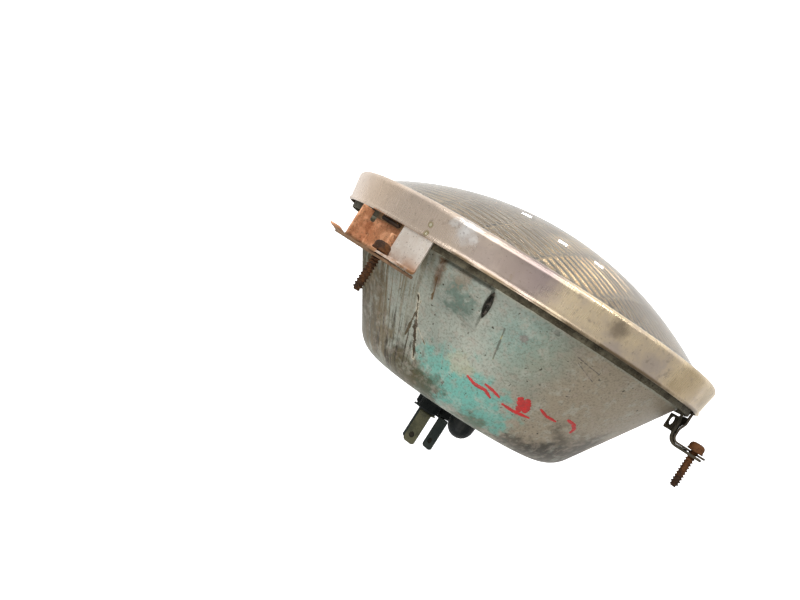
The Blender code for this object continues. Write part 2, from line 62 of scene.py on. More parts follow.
# %% [markdown]
# ## The camera
# The camera stands about 42 cm in front of the lamp's side and is rolled, so the lamp seems to
# lean. A roll is easy to write down as an angle between the camera's up and the lamp's own axis.

# %% Camera
CAMERA_PLACE = Vector((0.0, 0.00052, 0.41722))
CAMERA_AIM = Vector((0.0475, 0.0108, 0.0))
CAMERA_ROLL = math.radians(32.4)
CAMERA_LENS = 40.5
CAMERA_NEAR = 0.01

back = (CAMERA_PLACE - CAMERA_AIM).normalized()
level = Vector((0.0, -1.0, 0.0))
level = (level - back * level.dot(back)).normalized()
camera_up = level * math.cos(CAMERA_ROLL) - level.cross(back) * math.sin(CAMERA_ROLL)
camera_right = camera_up.cross(back)
camera = bpy.data.objects.new("camera", bpy.data.cameras.new("camera"))
camera.data.lens = CAMERA_LENS
camera.data.clip_start = CAMERA_NEAR
camera_turn = Matrix((camera_right, camera_up, back)).transposed().to_4x4()
camera.matrix_world = Matrix.Translation(CAMERA_PLACE) @ camera_turn
bpy.context.scene.collection.objects.link(camera)
bpy.context.scene.camera = camera
bpy.context.scene.view_settings.view_transform = "Standard"
print("camera to lamp:", round((CAMERA_PLACE - CAMERA_AIM).length, 3), "m")

# %% [markdown]
# ## Building a finish out of nodes
# Worn surfaces are layers: a base colour, broad stains, fine specks and a bumpy skin. This small
# helper adds one node at a time and gives back its output, so that a finish reads like a recipe.

# %% Finish helper
PATCH_GRAIN = 2.5                 # noise cells across a patch, so that big patches fray like small ones


class Finish:
    """A material that is put together node by node. Places are in metres, in the lamp's own frame."""

    def __init__(self, name, metallic=0.0, roughness=0.5):
        self.material = bpy.data.materials.new(name)
        self.material.use_nodes = True
        self.tree = self.material.node_tree
        self.shader = self.tree.nodes["Principled BSDF"]
        self.shader.inputs["Metallic"].default_value = metallic
        self.shader.inputs["Roughness"].default_value = roughness
        self.place = self.add("ShaderNodeTexCoord").outputs["Object"]
        self.colour = (0.5, 0.5, 0.5)

    def add(self, kind, **settings):
        node = self.tree.nodes.new(kind)
        for key, value in settings.items():
            setattr(node, key, value)
        return node

    def put(self, socket, value):
        if isinstance(value, bpy.types.NodeSocket):
            self.tree.links.new(value, socket)
        elif isinstance(value, tuple) and len(value) == 3 and socket.type == "RGBA":
            socket.default_value = (*value, 1.0)
        else:
            socket.default_value = value

    def maths(self, operation, first, second=0.0, clamp=False):
        node = self.add("ShaderNodeMath", operation=operation, use_clamp=clamp)
        self.put(node.inputs[0], first)
        self.put(node.inputs[1], second)
        return node.outputs[0]

    def times(self, first, second):
        return self.maths("MULTIPLY", first, second)

    def plus(self, first, second):
        return self.maths("ADD", first, second)

    def less(self, first, second):
        return self.maths("SUBTRACT", first, second)

    def stretched(self, scale, place=None):
        node = self.add("ShaderNodeVectorMath", operation="MULTIPLY")
        self.put(node.inputs[0], place or self.place)
        self.put(node.inputs[1], scale)
        return node.outputs[0]

    def noise(self, scale, detail=4.0, roughness=0.55, place=None):
        node = self.add("ShaderNodeTexNoise")
        self.put(node.inputs["Vector"], place or self.place)
        self.put(node.inputs["Scale"], scale)
        self.put(node.inputs["Detail"], detail)
        self.put(node.inputs["Roughness"], roughness)
        return node.outputs["Fac"]

    def ramp(self, value, low, high):
        """0 at low and 1 at high, eased in between."""
        node = self.add("ShaderNodeMapRange", interpolation_type="SMOOTHSTEP")
        self.put(node.inputs["Value"], value)
        self.put(node.inputs["From Min"], low)
        self.put(node.inputs["From Max"], high)
        return node.outputs["Result"]

    def blend(self, factor, first, second):
        node = self.add("ShaderNodeMix", data_type="RGBA")
        self.put(node.inputs["Factor"], factor)
        self.put(node.inputs[6], first)
        self.put(node.inputs[7], second)
        return node.outputs[2]

    def lay(self, share, colour):
        """Lays one more colour over those that are there, as strongly as share says."""
        self.colour = self.blend(share, self.colour, colour)

    def patch(self, centre, size, edge=0.5, ragged=0.5):
        """1 at the centre and 0 beyond size, with an uneven edge."""
        away = self.add("ShaderNodeVectorMath", operation="SUBTRACT")
        self.put(away.inputs[0], self.place)
        self.put(away.inputs[1], tuple(centre))
        far = self.add("ShaderNodeVectorMath", operation="LENGTH")
        self.put(far.inputs[0], away.outputs[0])
        uneven = self.less(self.noise(PATCH_GRAIN / size, 5.0), 0.5)
        rough = self.times(uneven, size * ragged * 2.0)
        return self.ramp(self.plus(far.outputs["Value"], rough), size, size * (1.0 - edge))

    def round_place(self, radius):
        """Distance round the axis, distance along it, and radius: a flat map of a turned surface."""
        apart = self.add("ShaderNodeSeparateXYZ")
        self.put(apart.inputs[0], self.place)
        angle = self.maths("ARCTAN2", apart.outputs["X"], apart.outputs["Z"])
        join = self.add("ShaderNodeCombineXYZ")
        self.put(join.inputs[0], self.times(angle, radius))
        self.put(join.inputs[1], apart.outputs["Y"])
        return join.outputs[0], apart.outputs

    def bump(self, height, distance, strength=1.0, under=None):
        node = self.add("ShaderNodeBump")
        self.put(node.inputs["Strength"], strength)
        self.put(node.inputs["Distance"], distance)
        self.put(node.inputs["Height"], height)
        if under is not None:
            self.put(node.inputs["Normal"], under)
        return node.outputs["Normal"]

    def show(self, roughness=None, normal=None, metallic=None):
        """Joins the layers to the shader and gives back the finished material."""
        self.put(self.shader.inputs["Base Color"], self.colour)
        if roughness is not None:
            self.put(self.shader.inputs["Roughness"], roughness)
        if metallic is not None:
            self.put(self.shader.inputs["Metallic"], metallic)
        if normal is not None:
            self.put(self.shader.inputs["Normal"], normal)
        return self.material


# %% [markdown]
# ## Floor and light
# A white floor and one large soft light suit shiny round metal. The strip light gives the ring
# its thin bright line, and the pale surroundings stop the steel from going black.

# %% Floor and lights
FLOOR_GAP = 0.004
FLOOR_REACH = 3.0
FLOOR_GLOW = 0.95
ROOM_COLOUR = (0.98, 0.97, 0.95, 1.0)
ROOM_STRENGTH = 0.44
floor_height = cad_box[0][2] - FLOOR_GAP
floor_corners = [(-1.0, -1.0), (1.0, -1.0), (1.0, 1.0), (-1.0, 1.0)]
floor_mesh = bpy.data.meshes.new("floor")
floor_mesh.from_pydata([(x * FLOOR_REACH, y * FLOOR_REACH, floor_height) for x, y in floor_corners], [],
                       [(0, 1, 2, 3)])
floor = bpy.data.objects.new("floor", floor_mesh)
bpy.context.scene.collection.objects.link(floor)
paper = Finish("studio_paper", 0.0, 0.9)
paper.colour = (0.80, 0.80, 0.80)
paper.show()
paper.put(paper.shader.inputs["Emission Color"], (1.0, 1.0, 1.0))
seen = paper.add("ShaderNodeLightPath").outputs["Is Camera Ray"]
paper.put(paper.shader.inputs["Emission Strength"], paper.times(seen, FLOOR_GLOW))
floor_mesh.materials.append(paper.material)

world = bpy.data.worlds.new("studio")
bpy.context.scene.world = world
world.use_nodes = True
world.node_tree.nodes["Background"].inputs["Color"].default_value = ROOM_COLOUR
world.node_tree.nodes["Background"].inputs["Strength"].default_value = ROOM_STRENGTH


def soft_light(name, place, aim, width, height, power):
    light = bpy.data.lights.new(name, "AREA")
    light.shape = "RECTANGLE"
    light.size, light.size_y = width, height
    light.energy = power
    lamp = bpy.data.objects.new(name, light)
    lamp.location = place
    lamp.rotation_euler = (Vector(aim) - Vector(place)).to_track_quat("-Z", "Y").to_euler()
    bpy.context.scene.collection.objects.link(lamp)
    return lamp


# Each light has a name, a place, a point it looks at, a width, a height and a power in watts.
SOFTBOXES = [("main_softbox", (0.20, -0.50, 0.80), (0.0, 0.0, 0.0), 0.9, 0.6, 5.6),
             ("fill_softbox", (0.10, 0.55, 0.70), (0.0, 0.0, 0.0), 0.7, 0.5, 3.4),
             ("strip", (0.0, -0.80, 0.30), (0.0, -0.03, 0.05), 1.4, 0.04, 4.0)]
for softbox in SOFTBOXES:
    soft_light(*softbox)

# %% [markdown]
# ## Shapes from profiles
# Nearly everything on the lamp is turned or bent sheet. A lathe helper spins a profile round the
# lamp's axis, and another follows a path with a sheet of even thickness.

# %% Shape helpers
MERGE_GAP = 0.0000008             # points closer than this are one point
WAVE_COUNTS = (2, 3, 5, 7, 11, 17)
PHASE_SPAN = 6.28                 # about a whole turn


def new_mesh(name, points, faces):
    mesh = bpy.data.meshes.new(name)
    mesh.from_pydata([tuple(point) for point in points], [], [tuple(face) for face in faces])
    return mesh


def closed_mesh(name, points, faces):
    """A mesh of a solid, with every face turned to look outwards."""
    mesh = new_mesh(name, points, faces)
    shape = bmesh.new()
    shape.from_mesh(mesh)
    bmesh.ops.recalc_face_normals(shape, faces=shape.faces)
    shape.to_mesh(mesh)
    shape.free()
    return mesh


def make_piece(name, points, faces, finishes, body, replaces=(), smooth=35.0):
    return keep_piece(name, new_mesh(name, points, faces), finishes, body, replaces, smooth)


def keep_piece(name, mesh, finishes, body, replaces=(), smooth=35.0):
    shape = bmesh.new()
    shape.from_mesh(mesh)
    bmesh.ops.remove_doubles(shape, verts=shape.verts, dist=MERGE_GAP)
    bmesh.ops.recalc_face_normals(shape, faces=shape.faces)
    shape.to_mesh(mesh)
    shape.free()
    mesh.shade_smooth()
    mesh.set_sharp_from_angle(angle=math.radians(smooth))
    for finish in finishes:
        mesh.materials.append(finish)
    piece = bpy.data.objects.new(name, mesh)
    bpy.context.scene.collection.objects.link(piece)
    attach(piece, body)
    if replaces:
        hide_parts(*replaces)
    print(name, len(mesh.polygons), "faces")
    return piece


def grid_faces(rows, columns, close_rows=True):
    """Four-sided faces between rows of points that each go once round."""
    faces = []
    for row in range(rows if close_rows else rows - 1):
        after = (row + 1) % rows
        for column in range(columns):
            beside = (column + 1) % columns
            faces.append((row * columns + column, after * columns + column,
                          after * columns + beside, row * columns + beside))
    return faces


def lathe(outline, steps, first=0.0, change=None):
    """Vertices of a profile of (radius, y) points spun round the Y axis. change may move each ring."""
    angles = first + np.arange(steps) * 2.0 * math.pi / steps
    vertices = []
    for radius, y in outline:
        radii, depths = np.full(steps, radius), np.full(steps, y)
        if change is not None:
            radii, depths = change(angles, radii, depths)
        vertices.append(np.stack([-radii * np.sin(angles), depths, radii * np.cos(angles)], 1))
    return np.concatenate(vertices)


def arc(centre, radius, start, end, steps):
    turns = np.radians(np.linspace(start, end, steps + 1))
    return [(centre[0] + radius * math.cos(t), centre[1] + radius * math.sin(t)) for t in turns]


def between(first, last, steps):
    """Evenly spaced points from first up to, but not with, last."""
    return [tuple(np.array(first) + (np.array(last) - np.array(first)) * i / steps) for i in range(steps)]


def waves(angles, depths, seed, size):
    """A smooth uneven value round a turned piece, about -1 to 1, for dents and ripples."""
    total = np.zeros_like(angles)
    source = np.random.default_rng(seed)
    for count in WAVE_COUNTS:
        total += np.sin(count * angles + source.uniform(0, PHASE_SPAN) + depths / size) / count ** 0.6
    return total / 2.5


def smoothstep(value, low, high):
    part = np.clip((value - low) / (high - low), 0.0, 1.0)
    return part * part * (3.0 - 2.0 * part)


def around(degrees):
    return Matrix.Rotation(-math.radians(degrees), 4, "Y")


# %% [markdown]
# ## The retaining ring
# A polished stainless band holds the lamp by its rim. Its front edge is rounded over the glass,
# and its rear edge is folded into a thin hem. Fine lathe steps keep its outline truly round.

# %% Retaining ring shape
FRONT_PLANE = -0.030
BAND_REAR = -0.0161
BAND_FRONT_RADIUS = 0.0930
BAND_REAR_RADIUS = 0.0914
BAND_SHEET = 0.0008
BAND_ROUNDING = 0.0026
LIP_RADIUS = 0.0854
LIP_CORNER = 0.0003
HEM_HEIGHT = 0.0004
RING_STEPS = 400
RING_DENT = 0.00006
# The hem's section: how far below its top, and how far in from the rear edge.
HEM_SECTION = [(0.0006, 0.0), (0.0002, 0.0001), (0.0, 0.0004), (0.0, 0.0009), (0.0002, 0.0013),
               (0.00035, 0.0017)]

taper = math.degrees(math.atan((BAND_FRONT_RADIUS - BAND_REAR_RADIUS) / (BAND_REAR - FRONT_PLANE)))
bend = (BAND_FRONT_RADIUS - BAND_ROUNDING, FRONT_PLANE + BAND_ROUNDING)
hem_top = BAND_REAR_RADIUS + HEM_HEIGHT
ring_outline = [(hem_top - drop, BAND_REAR - inset) for drop, inset in HEM_SECTION]
rounding = arc(bend, BAND_ROUNDING, taper, -90.0, steps=14)
ring_outline += between(ring_outline[-1], rounding[0], steps=8)[1:] + rounding
ring_outline += [(LIP_RADIUS + LIP_CORNER, FRONT_PLANE), (LIP_RADIUS, FRONT_PLANE + LIP_CORNER),
                 (LIP_RADIUS, FRONT_PLANE + BAND_SHEET)]
ring_outline += arc(bend, BAND_ROUNDING - BAND_SHEET, -90.0, taper, steps=6)
ring_outline += [(BAND_REAR_RADIUS - BAND_SHEET, BAND_REAR)]


def ring_dents(angles, radii, depths):
    return radii - RING_DENT + RING_DENT * waves(angles, depths, seed=3, size=0.004), depths


# %% [markdown]
# The steel is brushed across the band and cloudy where it was handled. Its colour runs from pink-grey to gold
# across the band as a painted reflection of the room, and painted reflections, painted shades and painted
# highlights lie on it as patches. Stretched noise makes the brush lines.

# %% Polished steel
MIDDLE_RADIUS = 0.0925            # radius of the band's outside, halfway along it
STRAP_ANGLES = (-31.0, 78.6, 202.5)
WELD_TURN = 2.6                   # degrees from a strap's middle to its spot welds
WELD_DEPTHS = (-0.0213, -0.0177)
WELD_RADIUS = 0.0919


def at_ring(degrees, y, radius=MIDDLE_RADIUS):
    turn = math.radians(degrees)
    return (-radius * math.sin(turn), y, radius * math.cos(turn))


steel = Finish("polished_steel", 0.90, 0.3)
flat, axes = steel.round_place(MIDDLE_RADIUS)
brush = steel.noise(1.0, 3.0, 0.6, steel.stretched((2600.0, 160.0, 1.0), flat))
cross = steel.noise(1.0, 3.0, 0.6, steel.stretched((420.0, 3000.0, 1.0), flat))
cloud = steel.noise(38.0, 5.0, 0.6)
speck = steel.ramp(steel.noise(900.0, 3.0, 0.7), 0.60, 0.72)
# Painted reflection: the colour runs from pink-grey to gold across the band.
painted_reflection_tint = steel.ramp(axes["X"], 0.012, -0.012)
steel.colour = steel.blend(painted_reflection_tint, (0.80, 0.655, 0.535), (0.93, 0.755, 0.500))
steel.lay(steel.ramp(cloud, 0.42, 0.68), (0.62, 0.52, 0.43))
# A painted reflection on the ring has a place, a size, how soft and how ragged its edge is, and a colour.
RING_PAINTED_REFLECTIONS = [(at_ring(0.1, -0.0256), 0.016, 0.8, 0.3, (0.42, 0.335, 0.315)),
                 (at_ring(22.4, -0.0252), 0.006, 0.8, 0.4, (0.40, 0.32, 0.23)),
                 (at_ring(-19.3, -0.0266), 0.008, 0.9, 0.5, (0.86, 0.82, 0.78))]
for centre, size, edge, ragged, colour in RING_PAINTED_REFLECTIONS:
    steel.lay(steel.patch(centre, size, edge, ragged), colour)
# A painted shade has a place, a size, a colour and a strength.
RING_PAINTED_SHADES = [(at_ring(-6.0, -0.0235), 0.018, (0.37, 0.295, 0.26), 0.8),
               (at_ring(-14.0, -0.0215), 0.010, (0.46, 0.38, 0.34), 0.6),
               (at_ring(-52.0, -0.0235), 0.024, (0.60, 0.46, 0.335), 0.75),
               (at_ring(52.0, -0.0230), 0.022, (0.46, 0.345, 0.190), 0.85),
               (at_ring(68.0, -0.0230), 0.016, (0.42, 0.32, 0.18), 0.8)]
for centre, size, colour, share in RING_PAINTED_SHADES:
    painted_shade = steel.times(steel.patch(centre, size, 0.9, 0.5), share)
    steel.lay(painted_shade, colour)
# Painted highlights: three small near-white glints on the band where lights would shine.
PAINTED_GLINTS = ((-23.0, -0.0262), (-19.5, -0.0255), (-16.5, -0.0240))
for glint_turn, glint_y in PAINTED_GLINTS:
    painted_glint = steel.times(steel.patch(at_ring(glint_turn, glint_y), 0.0026, 0.8, 0.9), 0.6)
    steel.lay(painted_glint, (1.0, 0.97, 0.93))
blot = steel.ramp(steel.noise(210.0, 5.0, 0.7), 0.56, 0.70)
steel.lay(steel.times(blot, 0.55), (0.36, 0.28, 0.21))
for angle in STRAP_ANGLES:
    for y in WELD_DEPTHS:
        weld_place = at_ring(angle + WELD_TURN, y, WELD_RADIUS)
        dimple = steel.patch(weld_place, 0.0016, 0.5, 0.25)
        core = steel.patch(weld_place, 0.0009, 0.5, 0.2)
        steel.lay(dimple, (0.42, 0.34, 0.17))
        steel.lay(core, (0.88, 0.82, 0.62))
# Painted shade and grime: the band darkens in cloudy patches towards its rear hem.
hem_shade_and_grime = steel.times(steel.ramp(axes["Y"], -0.0180, -0.0166), steel.ramp(cloud, 0.40, 0.60))
steel.lay(hem_shade_and_grime, (0.22, 0.16, 0.10))
steel.lay(steel.times(speck, 0.5), (0.16, 0.11, 0.08))
steel_rough = steel.plus(steel.times(brush, 0.16),
                          steel.plus(steel.times(cloud, 0.26), 0.08))
steel_skin = steel.bump(brush, 0.00012, 0.7)
steel_skin = steel.bump(cross, 0.00006, 0.5, steel_skin)
steel.show(steel_rough, steel_skin)

make_piece("polished_ring", lathe(ring_outline, RING_STEPS, change=ring_dents),
           grid_faces(len(ring_outline), RING_STEPS), [steel.material], "ring",
           ["retaining_ring"])

# %% [markdown]
# ## The straps
# Three short steel straps hang from the band, step in towards the lamp, and turn out into feet
# under the screws. A sheet follows a bent path; a cutter opens the slot for the screw.

# %% Sheet helpers
EDGE_STEPS = 2
SHARP_ANGLE = 50.0                # degrees; edges bent more than this count as sharp


def rounded(points, radius, steps=10):
    """A path with its corners rounded to one radius."""
    path = [Vector(points[0])]
    for before, corner, after in zip(points, points[1:], points[2:]):
        corner = Vector(corner)
        to_back = (Vector(before) - corner).normalized()
        ahead = (Vector(after) - corner).normalized()
        half = to_back.angle(ahead) / 2.0
        reach = radius / math.tan(half)
        centre = corner + (to_back + ahead).normalized() * radius / math.sin(half)
        first = corner + to_back * reach - centre
        last = corner + ahead * reach - centre
        for step in range(steps + 1):
            path.append(centre + first.lerp(last, step / steps).normalized() * radius)
    path.append(Vector(points[-1]))
    return path


def sheet_outline(path, sheet):
    """The outline of a sheet of even thickness that follows a path."""
    left, right = [], []
    for index, point in enumerate(path):
        before, after = path[max(index - 1, 0)], path[min(index + 1, len(path) - 1)]
        along = (after - before).normalized()
        normal = Vector((-along.y, along.x)) * sheet / 2.0
        left.append(point + normal)
        right.append(point - normal)
    return [tuple(point) for point in left + right[::-1]]


def pushed(outline, low, high, axis):
    """A flat outline pushed along one axis, as a mesh."""
    count = len(outline)
    points = []
    for depth in (low, high):
        for pair in outline:
            values = list(pair)
            values.insert(axis, depth)
            points.append(tuple(values))
    faces = [tuple(range(count)), tuple(range(count, 2 * count))[::-1]]
    faces += [(i, (i + 1) % count, (i + 1) % count + count, i + count) for i in range(count)]
    return closed_mesh("pushed", points, faces)


def carve(mesh, tools):
    """Cuts tool meshes out of a mesh and gives back the result."""
    work = bpy.data.objects.new("work", mesh)
    bpy.context.scene.collection.objects.link(work)
    helpers = []
    for tool in tools:
        helper = bpy.data.objects.new("tool", tool)
        bpy.context.scene.collection.objects.link(helper)
        modifier = work.modifiers.new("cut", "BOOLEAN")
        modifier.operation, modifier.object = "DIFFERENCE", helper
        helpers.append(helper)
    bpy.context.view_layer.update()
    result = bpy.data.meshes.new_from_object(work.evaluated_get(bpy.context.evaluated_depsgraph_get()))
    for thing in [work] + helpers:
        bpy.data.objects.remove(thing)
    return result


def soften(piece, width):
    """Rounds the sharp edges of a piece a little."""
    modifier = piece.modifiers.new("edges", "BEVEL")
    modifier.width, modifier.segments = width, EDGE_STEPS
    modifier.limit_method, modifier.angle_limit = "ANGLE", math.radians(SHARP_ANGLE)


# %% [markdown]
# The straps are the same steel as the ring, less polished, with dark dots and rust creeping up from the
# screws.

# %% Strap finish and straps
STRAP_WIDTH = 0.0160
STRAP_SHEET = 0.0009
SCREW_CIRCLE = 0.0982
SCREW_SHIFT = 0.0047
SLOT_WIDTH = 0.0048
STRAP_FRONT = -0.0215
STRAP_RADIUS = 0.08945            # radius of the middle of the sheet, under the band
STEP_RADIUS = 0.0882              # the same, after the second strap's step towards the axis
FOOT_DEPTH = -0.00195
FOOT_END = 0.1035
FOOT_CORNER = 0.0035
FOOT_CUT = (-0.0045, 0.0)         # a cutter has to reach through the foot and no further
CUT_PAST = 0.001                  # how far a cutter reaches past an edge
STRAIGHT_PATH = [(STRAP_FRONT, STRAP_RADIUS), (FOOT_DEPTH, STRAP_RADIUS), (FOOT_DEPTH, FOOT_END)]
STEPPED_PATH = [(STRAP_FRONT, STRAP_RADIUS), (-0.0105, STRAP_RADIUS), (-0.0072, STEP_RADIUS),
                (FOOT_DEPTH, STEP_RADIUS), (FOOT_DEPTH, FOOT_END)]

dull = Finish("dull_steel", 0.70, 0.35)
smear = dull.noise(260.0, 5.0, 0.65)
grime = dull.noise(90.0, 6.0, 0.6)
dots = dull.ramp(dull.noise(1300.0, 2.0, 0.6), 0.60, 0.70)
apart = dull.add("ShaderNodeSeparateXYZ")
dull.put(apart.inputs[0], dull.place)
towards_foot = dull.ramp(apart.outputs["Y"], -0.0085, -0.0015)
dull.colour = dull.blend(dull.ramp(smear, 0.35, 0.7), (1.0, 0.92, 0.83), (0.86, 0.76, 0.66))
dull.lay(dull.times(dots, 0.5), (0.25, 0.19, 0.14))
rust_share = dull.times(towards_foot, dull.ramp(grime, 0.30, 0.56))
dull.lay(rust_share, (0.30, 0.140, 0.055))
dull_metal = dull.less(0.70, dull.times(rust_share, 0.6))
dull_rough = dull.plus(dull.times(smear, 0.2), dull.times(rust_share, 0.3))
dull.show(dull.plus(dull_rough, 0.2), dull.bump(smear, 0.00006, 0.5), dull_metal)


FRESH_RUST = (0.34, 0.21, 0.11)
REAR_EDGE = (-0.0030, -0.0012)    # where a bracket turns from its side to its rear face
POWDER_LIGHT = 1.5                # rust powder against the bright rust it lies on


def rust(name, bright, mid, dark, pits=0.00022, rear=None, fresh=None):
    """Rust in three tones. rear is a colour of painted shade for the rear face, and fresh is a place of newer
    rust.
    """
    finish = Finish(name, 0.15, 0.85)
    finish.shader.inputs["Specular IOR Level"].default_value = 0.25
    broad = finish.noise(130.0, 6.0, 0.65)
    fine = finish.noise(700.0, 6.0, 0.7)
    grain = finish.noise(2600.0, 3.0, 0.6)
    finish.colour = finish.blend(finish.ramp(broad, 0.42, 0.58), mid, bright)
    finish.lay(finish.ramp(fine, 0.48, 0.74), dark)
    finish.lay(finish.ramp(grain, 0.58, 0.72), tuple(min(1.0, POWDER_LIGHT * c) for c in bright))
    # Painted shade: rear, where given, darkens the rear face.
    if rear is not None:
        depth = finish.add("ShaderNodeSeparateXYZ")
        finish.put(depth.inputs[0], finish.place)
        share = finish.times(finish.ramp(depth.outputs["Y"], *REAR_EDGE), 0.8)
        finish.lay(share, rear)
    if fresh is not None:
        finish.lay(finish.patch(fresh, 0.020, 0.5, 0.6), FRESH_RUST)
    skin = finish.bump(fine, pits, 0.8)
    skin = finish.bump(grain, pits / 3.0, 0.7, skin)
    rough = finish.plus(finish.times(fine, 0.35), 0.55)
    finish.show(rough, skin)
    return finish.material


strap_rust = rust("strap_rust", (0.085, 0.066, 0.046), (0.050, 0.041, 0.030), (0.016, 0.013, 0.010), 0.00008)
half = STRAP_WIDTH / 2.0
slot_half = SLOT_WIDTH / 2.0
for number, angle in enumerate(STRAP_ANGLES, 1):
    path = rounded(STEPPED_PATH, 0.0024) if number == 2 else rounded(STRAIGHT_PATH, 0.0014)
    outline = sheet_outline(path, STRAP_SHEET)
    slot = arc((SCREW_SHIFT, SCREW_CIRCLE), slot_half, 90.0, 270.0, steps=20)
    slot += [(half + CUT_PAST, SCREW_CIRCLE - slot_half), (half + CUT_PAST, SCREW_CIRCLE + slot_half)]
    cutters = [pushed(slot, *FOOT_CUT, axis=1)]
    for side in (-1.0, 1.0):
        start = 180.0 if side < 0.0 else 0.0
        centre = (side * (half - FOOT_CORNER), FOOT_END - FOOT_CORNER)
        corner = arc(centre, FOOT_CORNER, start, 90.0, steps=10)
        corner[0] = (side * (half + CUT_PAST), centre[1])
        corner += [(centre[0], FOOT_END + CUT_PAST), (side * (half + CUT_PAST), FOOT_END + CUT_PAST)]
        cutters.append(pushed(corner, *FOOT_CUT, axis=1))
    strap_mesh = carve(pushed(outline, -half, half, axis=0), cutters)
    strap_mesh.transform(around(angle))
    strap_finish = strap_rust if number == 2 else dull.material
    strap = keep_piece(f"steel_strap_{number}", strap_mesh, [strap_finish], "ring",
                       [f"strap_{number}"])
    soften(strap, 0.00016)

# %% [markdown]
# ## The mounting ring and its brackets
# Behind the polished ring sits a plain steel ring that has rusted all over. Rust is not flat, so
# the finish mixes orange powder, dark scale and pits, and the bracket sheets get real lumps.

# %% Rust finishes
# The orange brackets get painted shade on their rear faces.
orange_rust = rust("orange_rust", (0.86, 0.460, 0.260), (0.56, 0.258, 0.130), (0.20, 0.090, 0.046),
                   rear=(0.100, 0.075, 0.045))
brown_rust = rust("brown_rust", (0.13, 0.115, 0.075), (0.060, 0.050, 0.030), (0.018, 0.014, 0.009),
                  fresh=at_ring(-38.0, -0.0160, 0.0886))
screw_rust = rust("screw_rust", (0.125, 0.050, 0.016), (0.038, 0.018, 0.009), (0.008, 0.005, 0.003), 0.00014)
# Dark rust with painted shade: the second bracket and the packed rust are darker than the orange brackets,
# partly as shade.
dark_rust_and_shade = rust("dark_bracket_rust_and_shade", (0.070, 0.058, 0.038), (0.036, 0.032, 0.022), (0.012, 0.010, 0.008))

SEAT_FRONT = -0.0185
SEAT_REAR = -0.0137
SEAT_RADIUS = 0.0886
SEAT_INNER = 0.0846
SEAT_SHEET = 0.0010
SEAT_CORNER = 0.0003
SEAT_STEPS = 360
EDGE_ZONE = 0.0005
EDGE_LOSS = 0.00018
SEAT_DENT = 0.00005
seat_outline = between((SEAT_RADIUS, SEAT_FRONT + SEAT_CORNER), (SEAT_RADIUS, SEAT_REAR), 5)
seat_outline += [(SEAT_RADIUS - 0.0002, SEAT_REAR), (SEAT_RADIUS - SEAT_SHEET + 0.0001, SEAT_REAR),
                 (SEAT_RADIUS - SEAT_SHEET, SEAT_FRONT + SEAT_SHEET + SEAT_CORNER),
                 (SEAT_INNER, SEAT_FRONT + SEAT_SHEET), (SEAT_INNER, SEAT_FRONT)]


def seat_dents(angles, radii, depths):
    """Eats a little rust out of the rear edge and dents the rest."""
    eaten = EDGE_LOSS * waves(angles * 9.0, depths, seed=5, size=0.01)
    rough_edge = np.where(depths > SEAT_REAR - EDGE_ZONE, eaten, 0.0)
    dents = SEAT_DENT * np.abs(waves(angles * 4.0, depths, seed=8, size=0.002))
    return radii - dents, depths - np.abs(rough_edge)


make_piece("rusty_mounting_ring", lathe(seat_outline, SEAT_STEPS, change=seat_dents),
           grid_faces(len(seat_outline), SEAT_STEPS), [brown_rust], "lamp", ["mounting_ring"])


# %% [markdown]
# The three brackets keep the frame's own shape. Their meshes are rebuilt in small even cells,
# smoothed so that every bend is soft, and then pushed about a little by a cloud pattern.

# %% Brackets
WELD_GAP = 0.000005               # corners of a frame node closer than this are joined
CELL_SIZE = 0.00032
LUMP_SIZE = 0.0022
LUMP_HEIGHT = 0.00022


def cloud_texture(name, size):
    clouds = bpy.data.textures.new(name, "CLOUDS")
    clouds.noise_scale = size
    clouds.noise_depth = 3
    return clouds


lumps = cloud_texture("rust_lumps", LUMP_SIZE)
for name, finish in (("bracket_1", orange_rust), ("bracket_2", dark_rust_and_shade), ("bracket_3", orange_rust)):
    node = nodes[name]
    weld = node.modifiers.new("weld", "WELD")
    weld.merge_threshold = WELD_GAP
    cells = node.modifiers.new("cells", "REMESH")
    cells.mode, cells.voxel_size, cells.use_smooth_shade = "VOXEL", CELL_SIZE, True
    ease = node.modifiers.new("ease", "SMOOTH")
    ease.factor, ease.iterations = 0.5, 4
    pits = node.modifiers.new("pits", "DISPLACE")
    pits.texture, pits.texture_coords = lumps, "LOCAL"
    pits.strength, pits.mid_level = LUMP_HEIGHT, 0.6
    node.data.materials.clear()
    node.data.materials.append(finish)
    print(name, "rebuilt in cells of", round(cells.voxel_size * 1000.0, 2), "mm")

# %% [markdown]
# Rust and road dirt have packed the space between the narrow bracket and its strap. It stays in
# the middle of the bracket's width, so the strap can still slide past it.

# %% Packed rust
PACKED_HALF = 0.0024
PACKED_TOP = 0.0956
STRAP_BEND = (0.0906, -0.00435)   # radius and y of the middle of the strap's rear bend
STRAP_BEND_RADIUS = 0.00298
BRACKET_BEND = (0.0891, -0.0030)
BRACKET_BEND_RADIUS = 0.0022
packed_outer = [(-0.0150, 0.08892), (-0.0110, 0.08892), (-0.0102, 0.08880), (-0.0086, 0.08815),
                (-0.0074, 0.08770), (-0.0066, 0.08762)]
packed_outer += [(y, r) for r, y in arc(STRAP_BEND, STRAP_BEND_RADIUS, 180.0, 90.0, steps=8)]
packed_outer += [(-0.00147, PACKED_TOP)]
packed_inner = [(-0.0008, PACKED_TOP)]
packed_inner += [(y, r) for r, y in arc(BRACKET_BEND, BRACKET_BEND_RADIUS, 90.0, 180.0, steps=6)]
packed_inner += [(-0.0046, 0.08700), (-0.0090, 0.08700), (-0.0110, 0.08690), (-0.0131, 0.08688),
                 (-0.0133, 0.08875), (-0.0150, 0.08875)]
packed_mesh = pushed(packed_outer + packed_inner, -PACKED_HALF, PACKED_HALF, axis=0)
packed_mesh.transform(around(STRAP_ANGLES[1]))
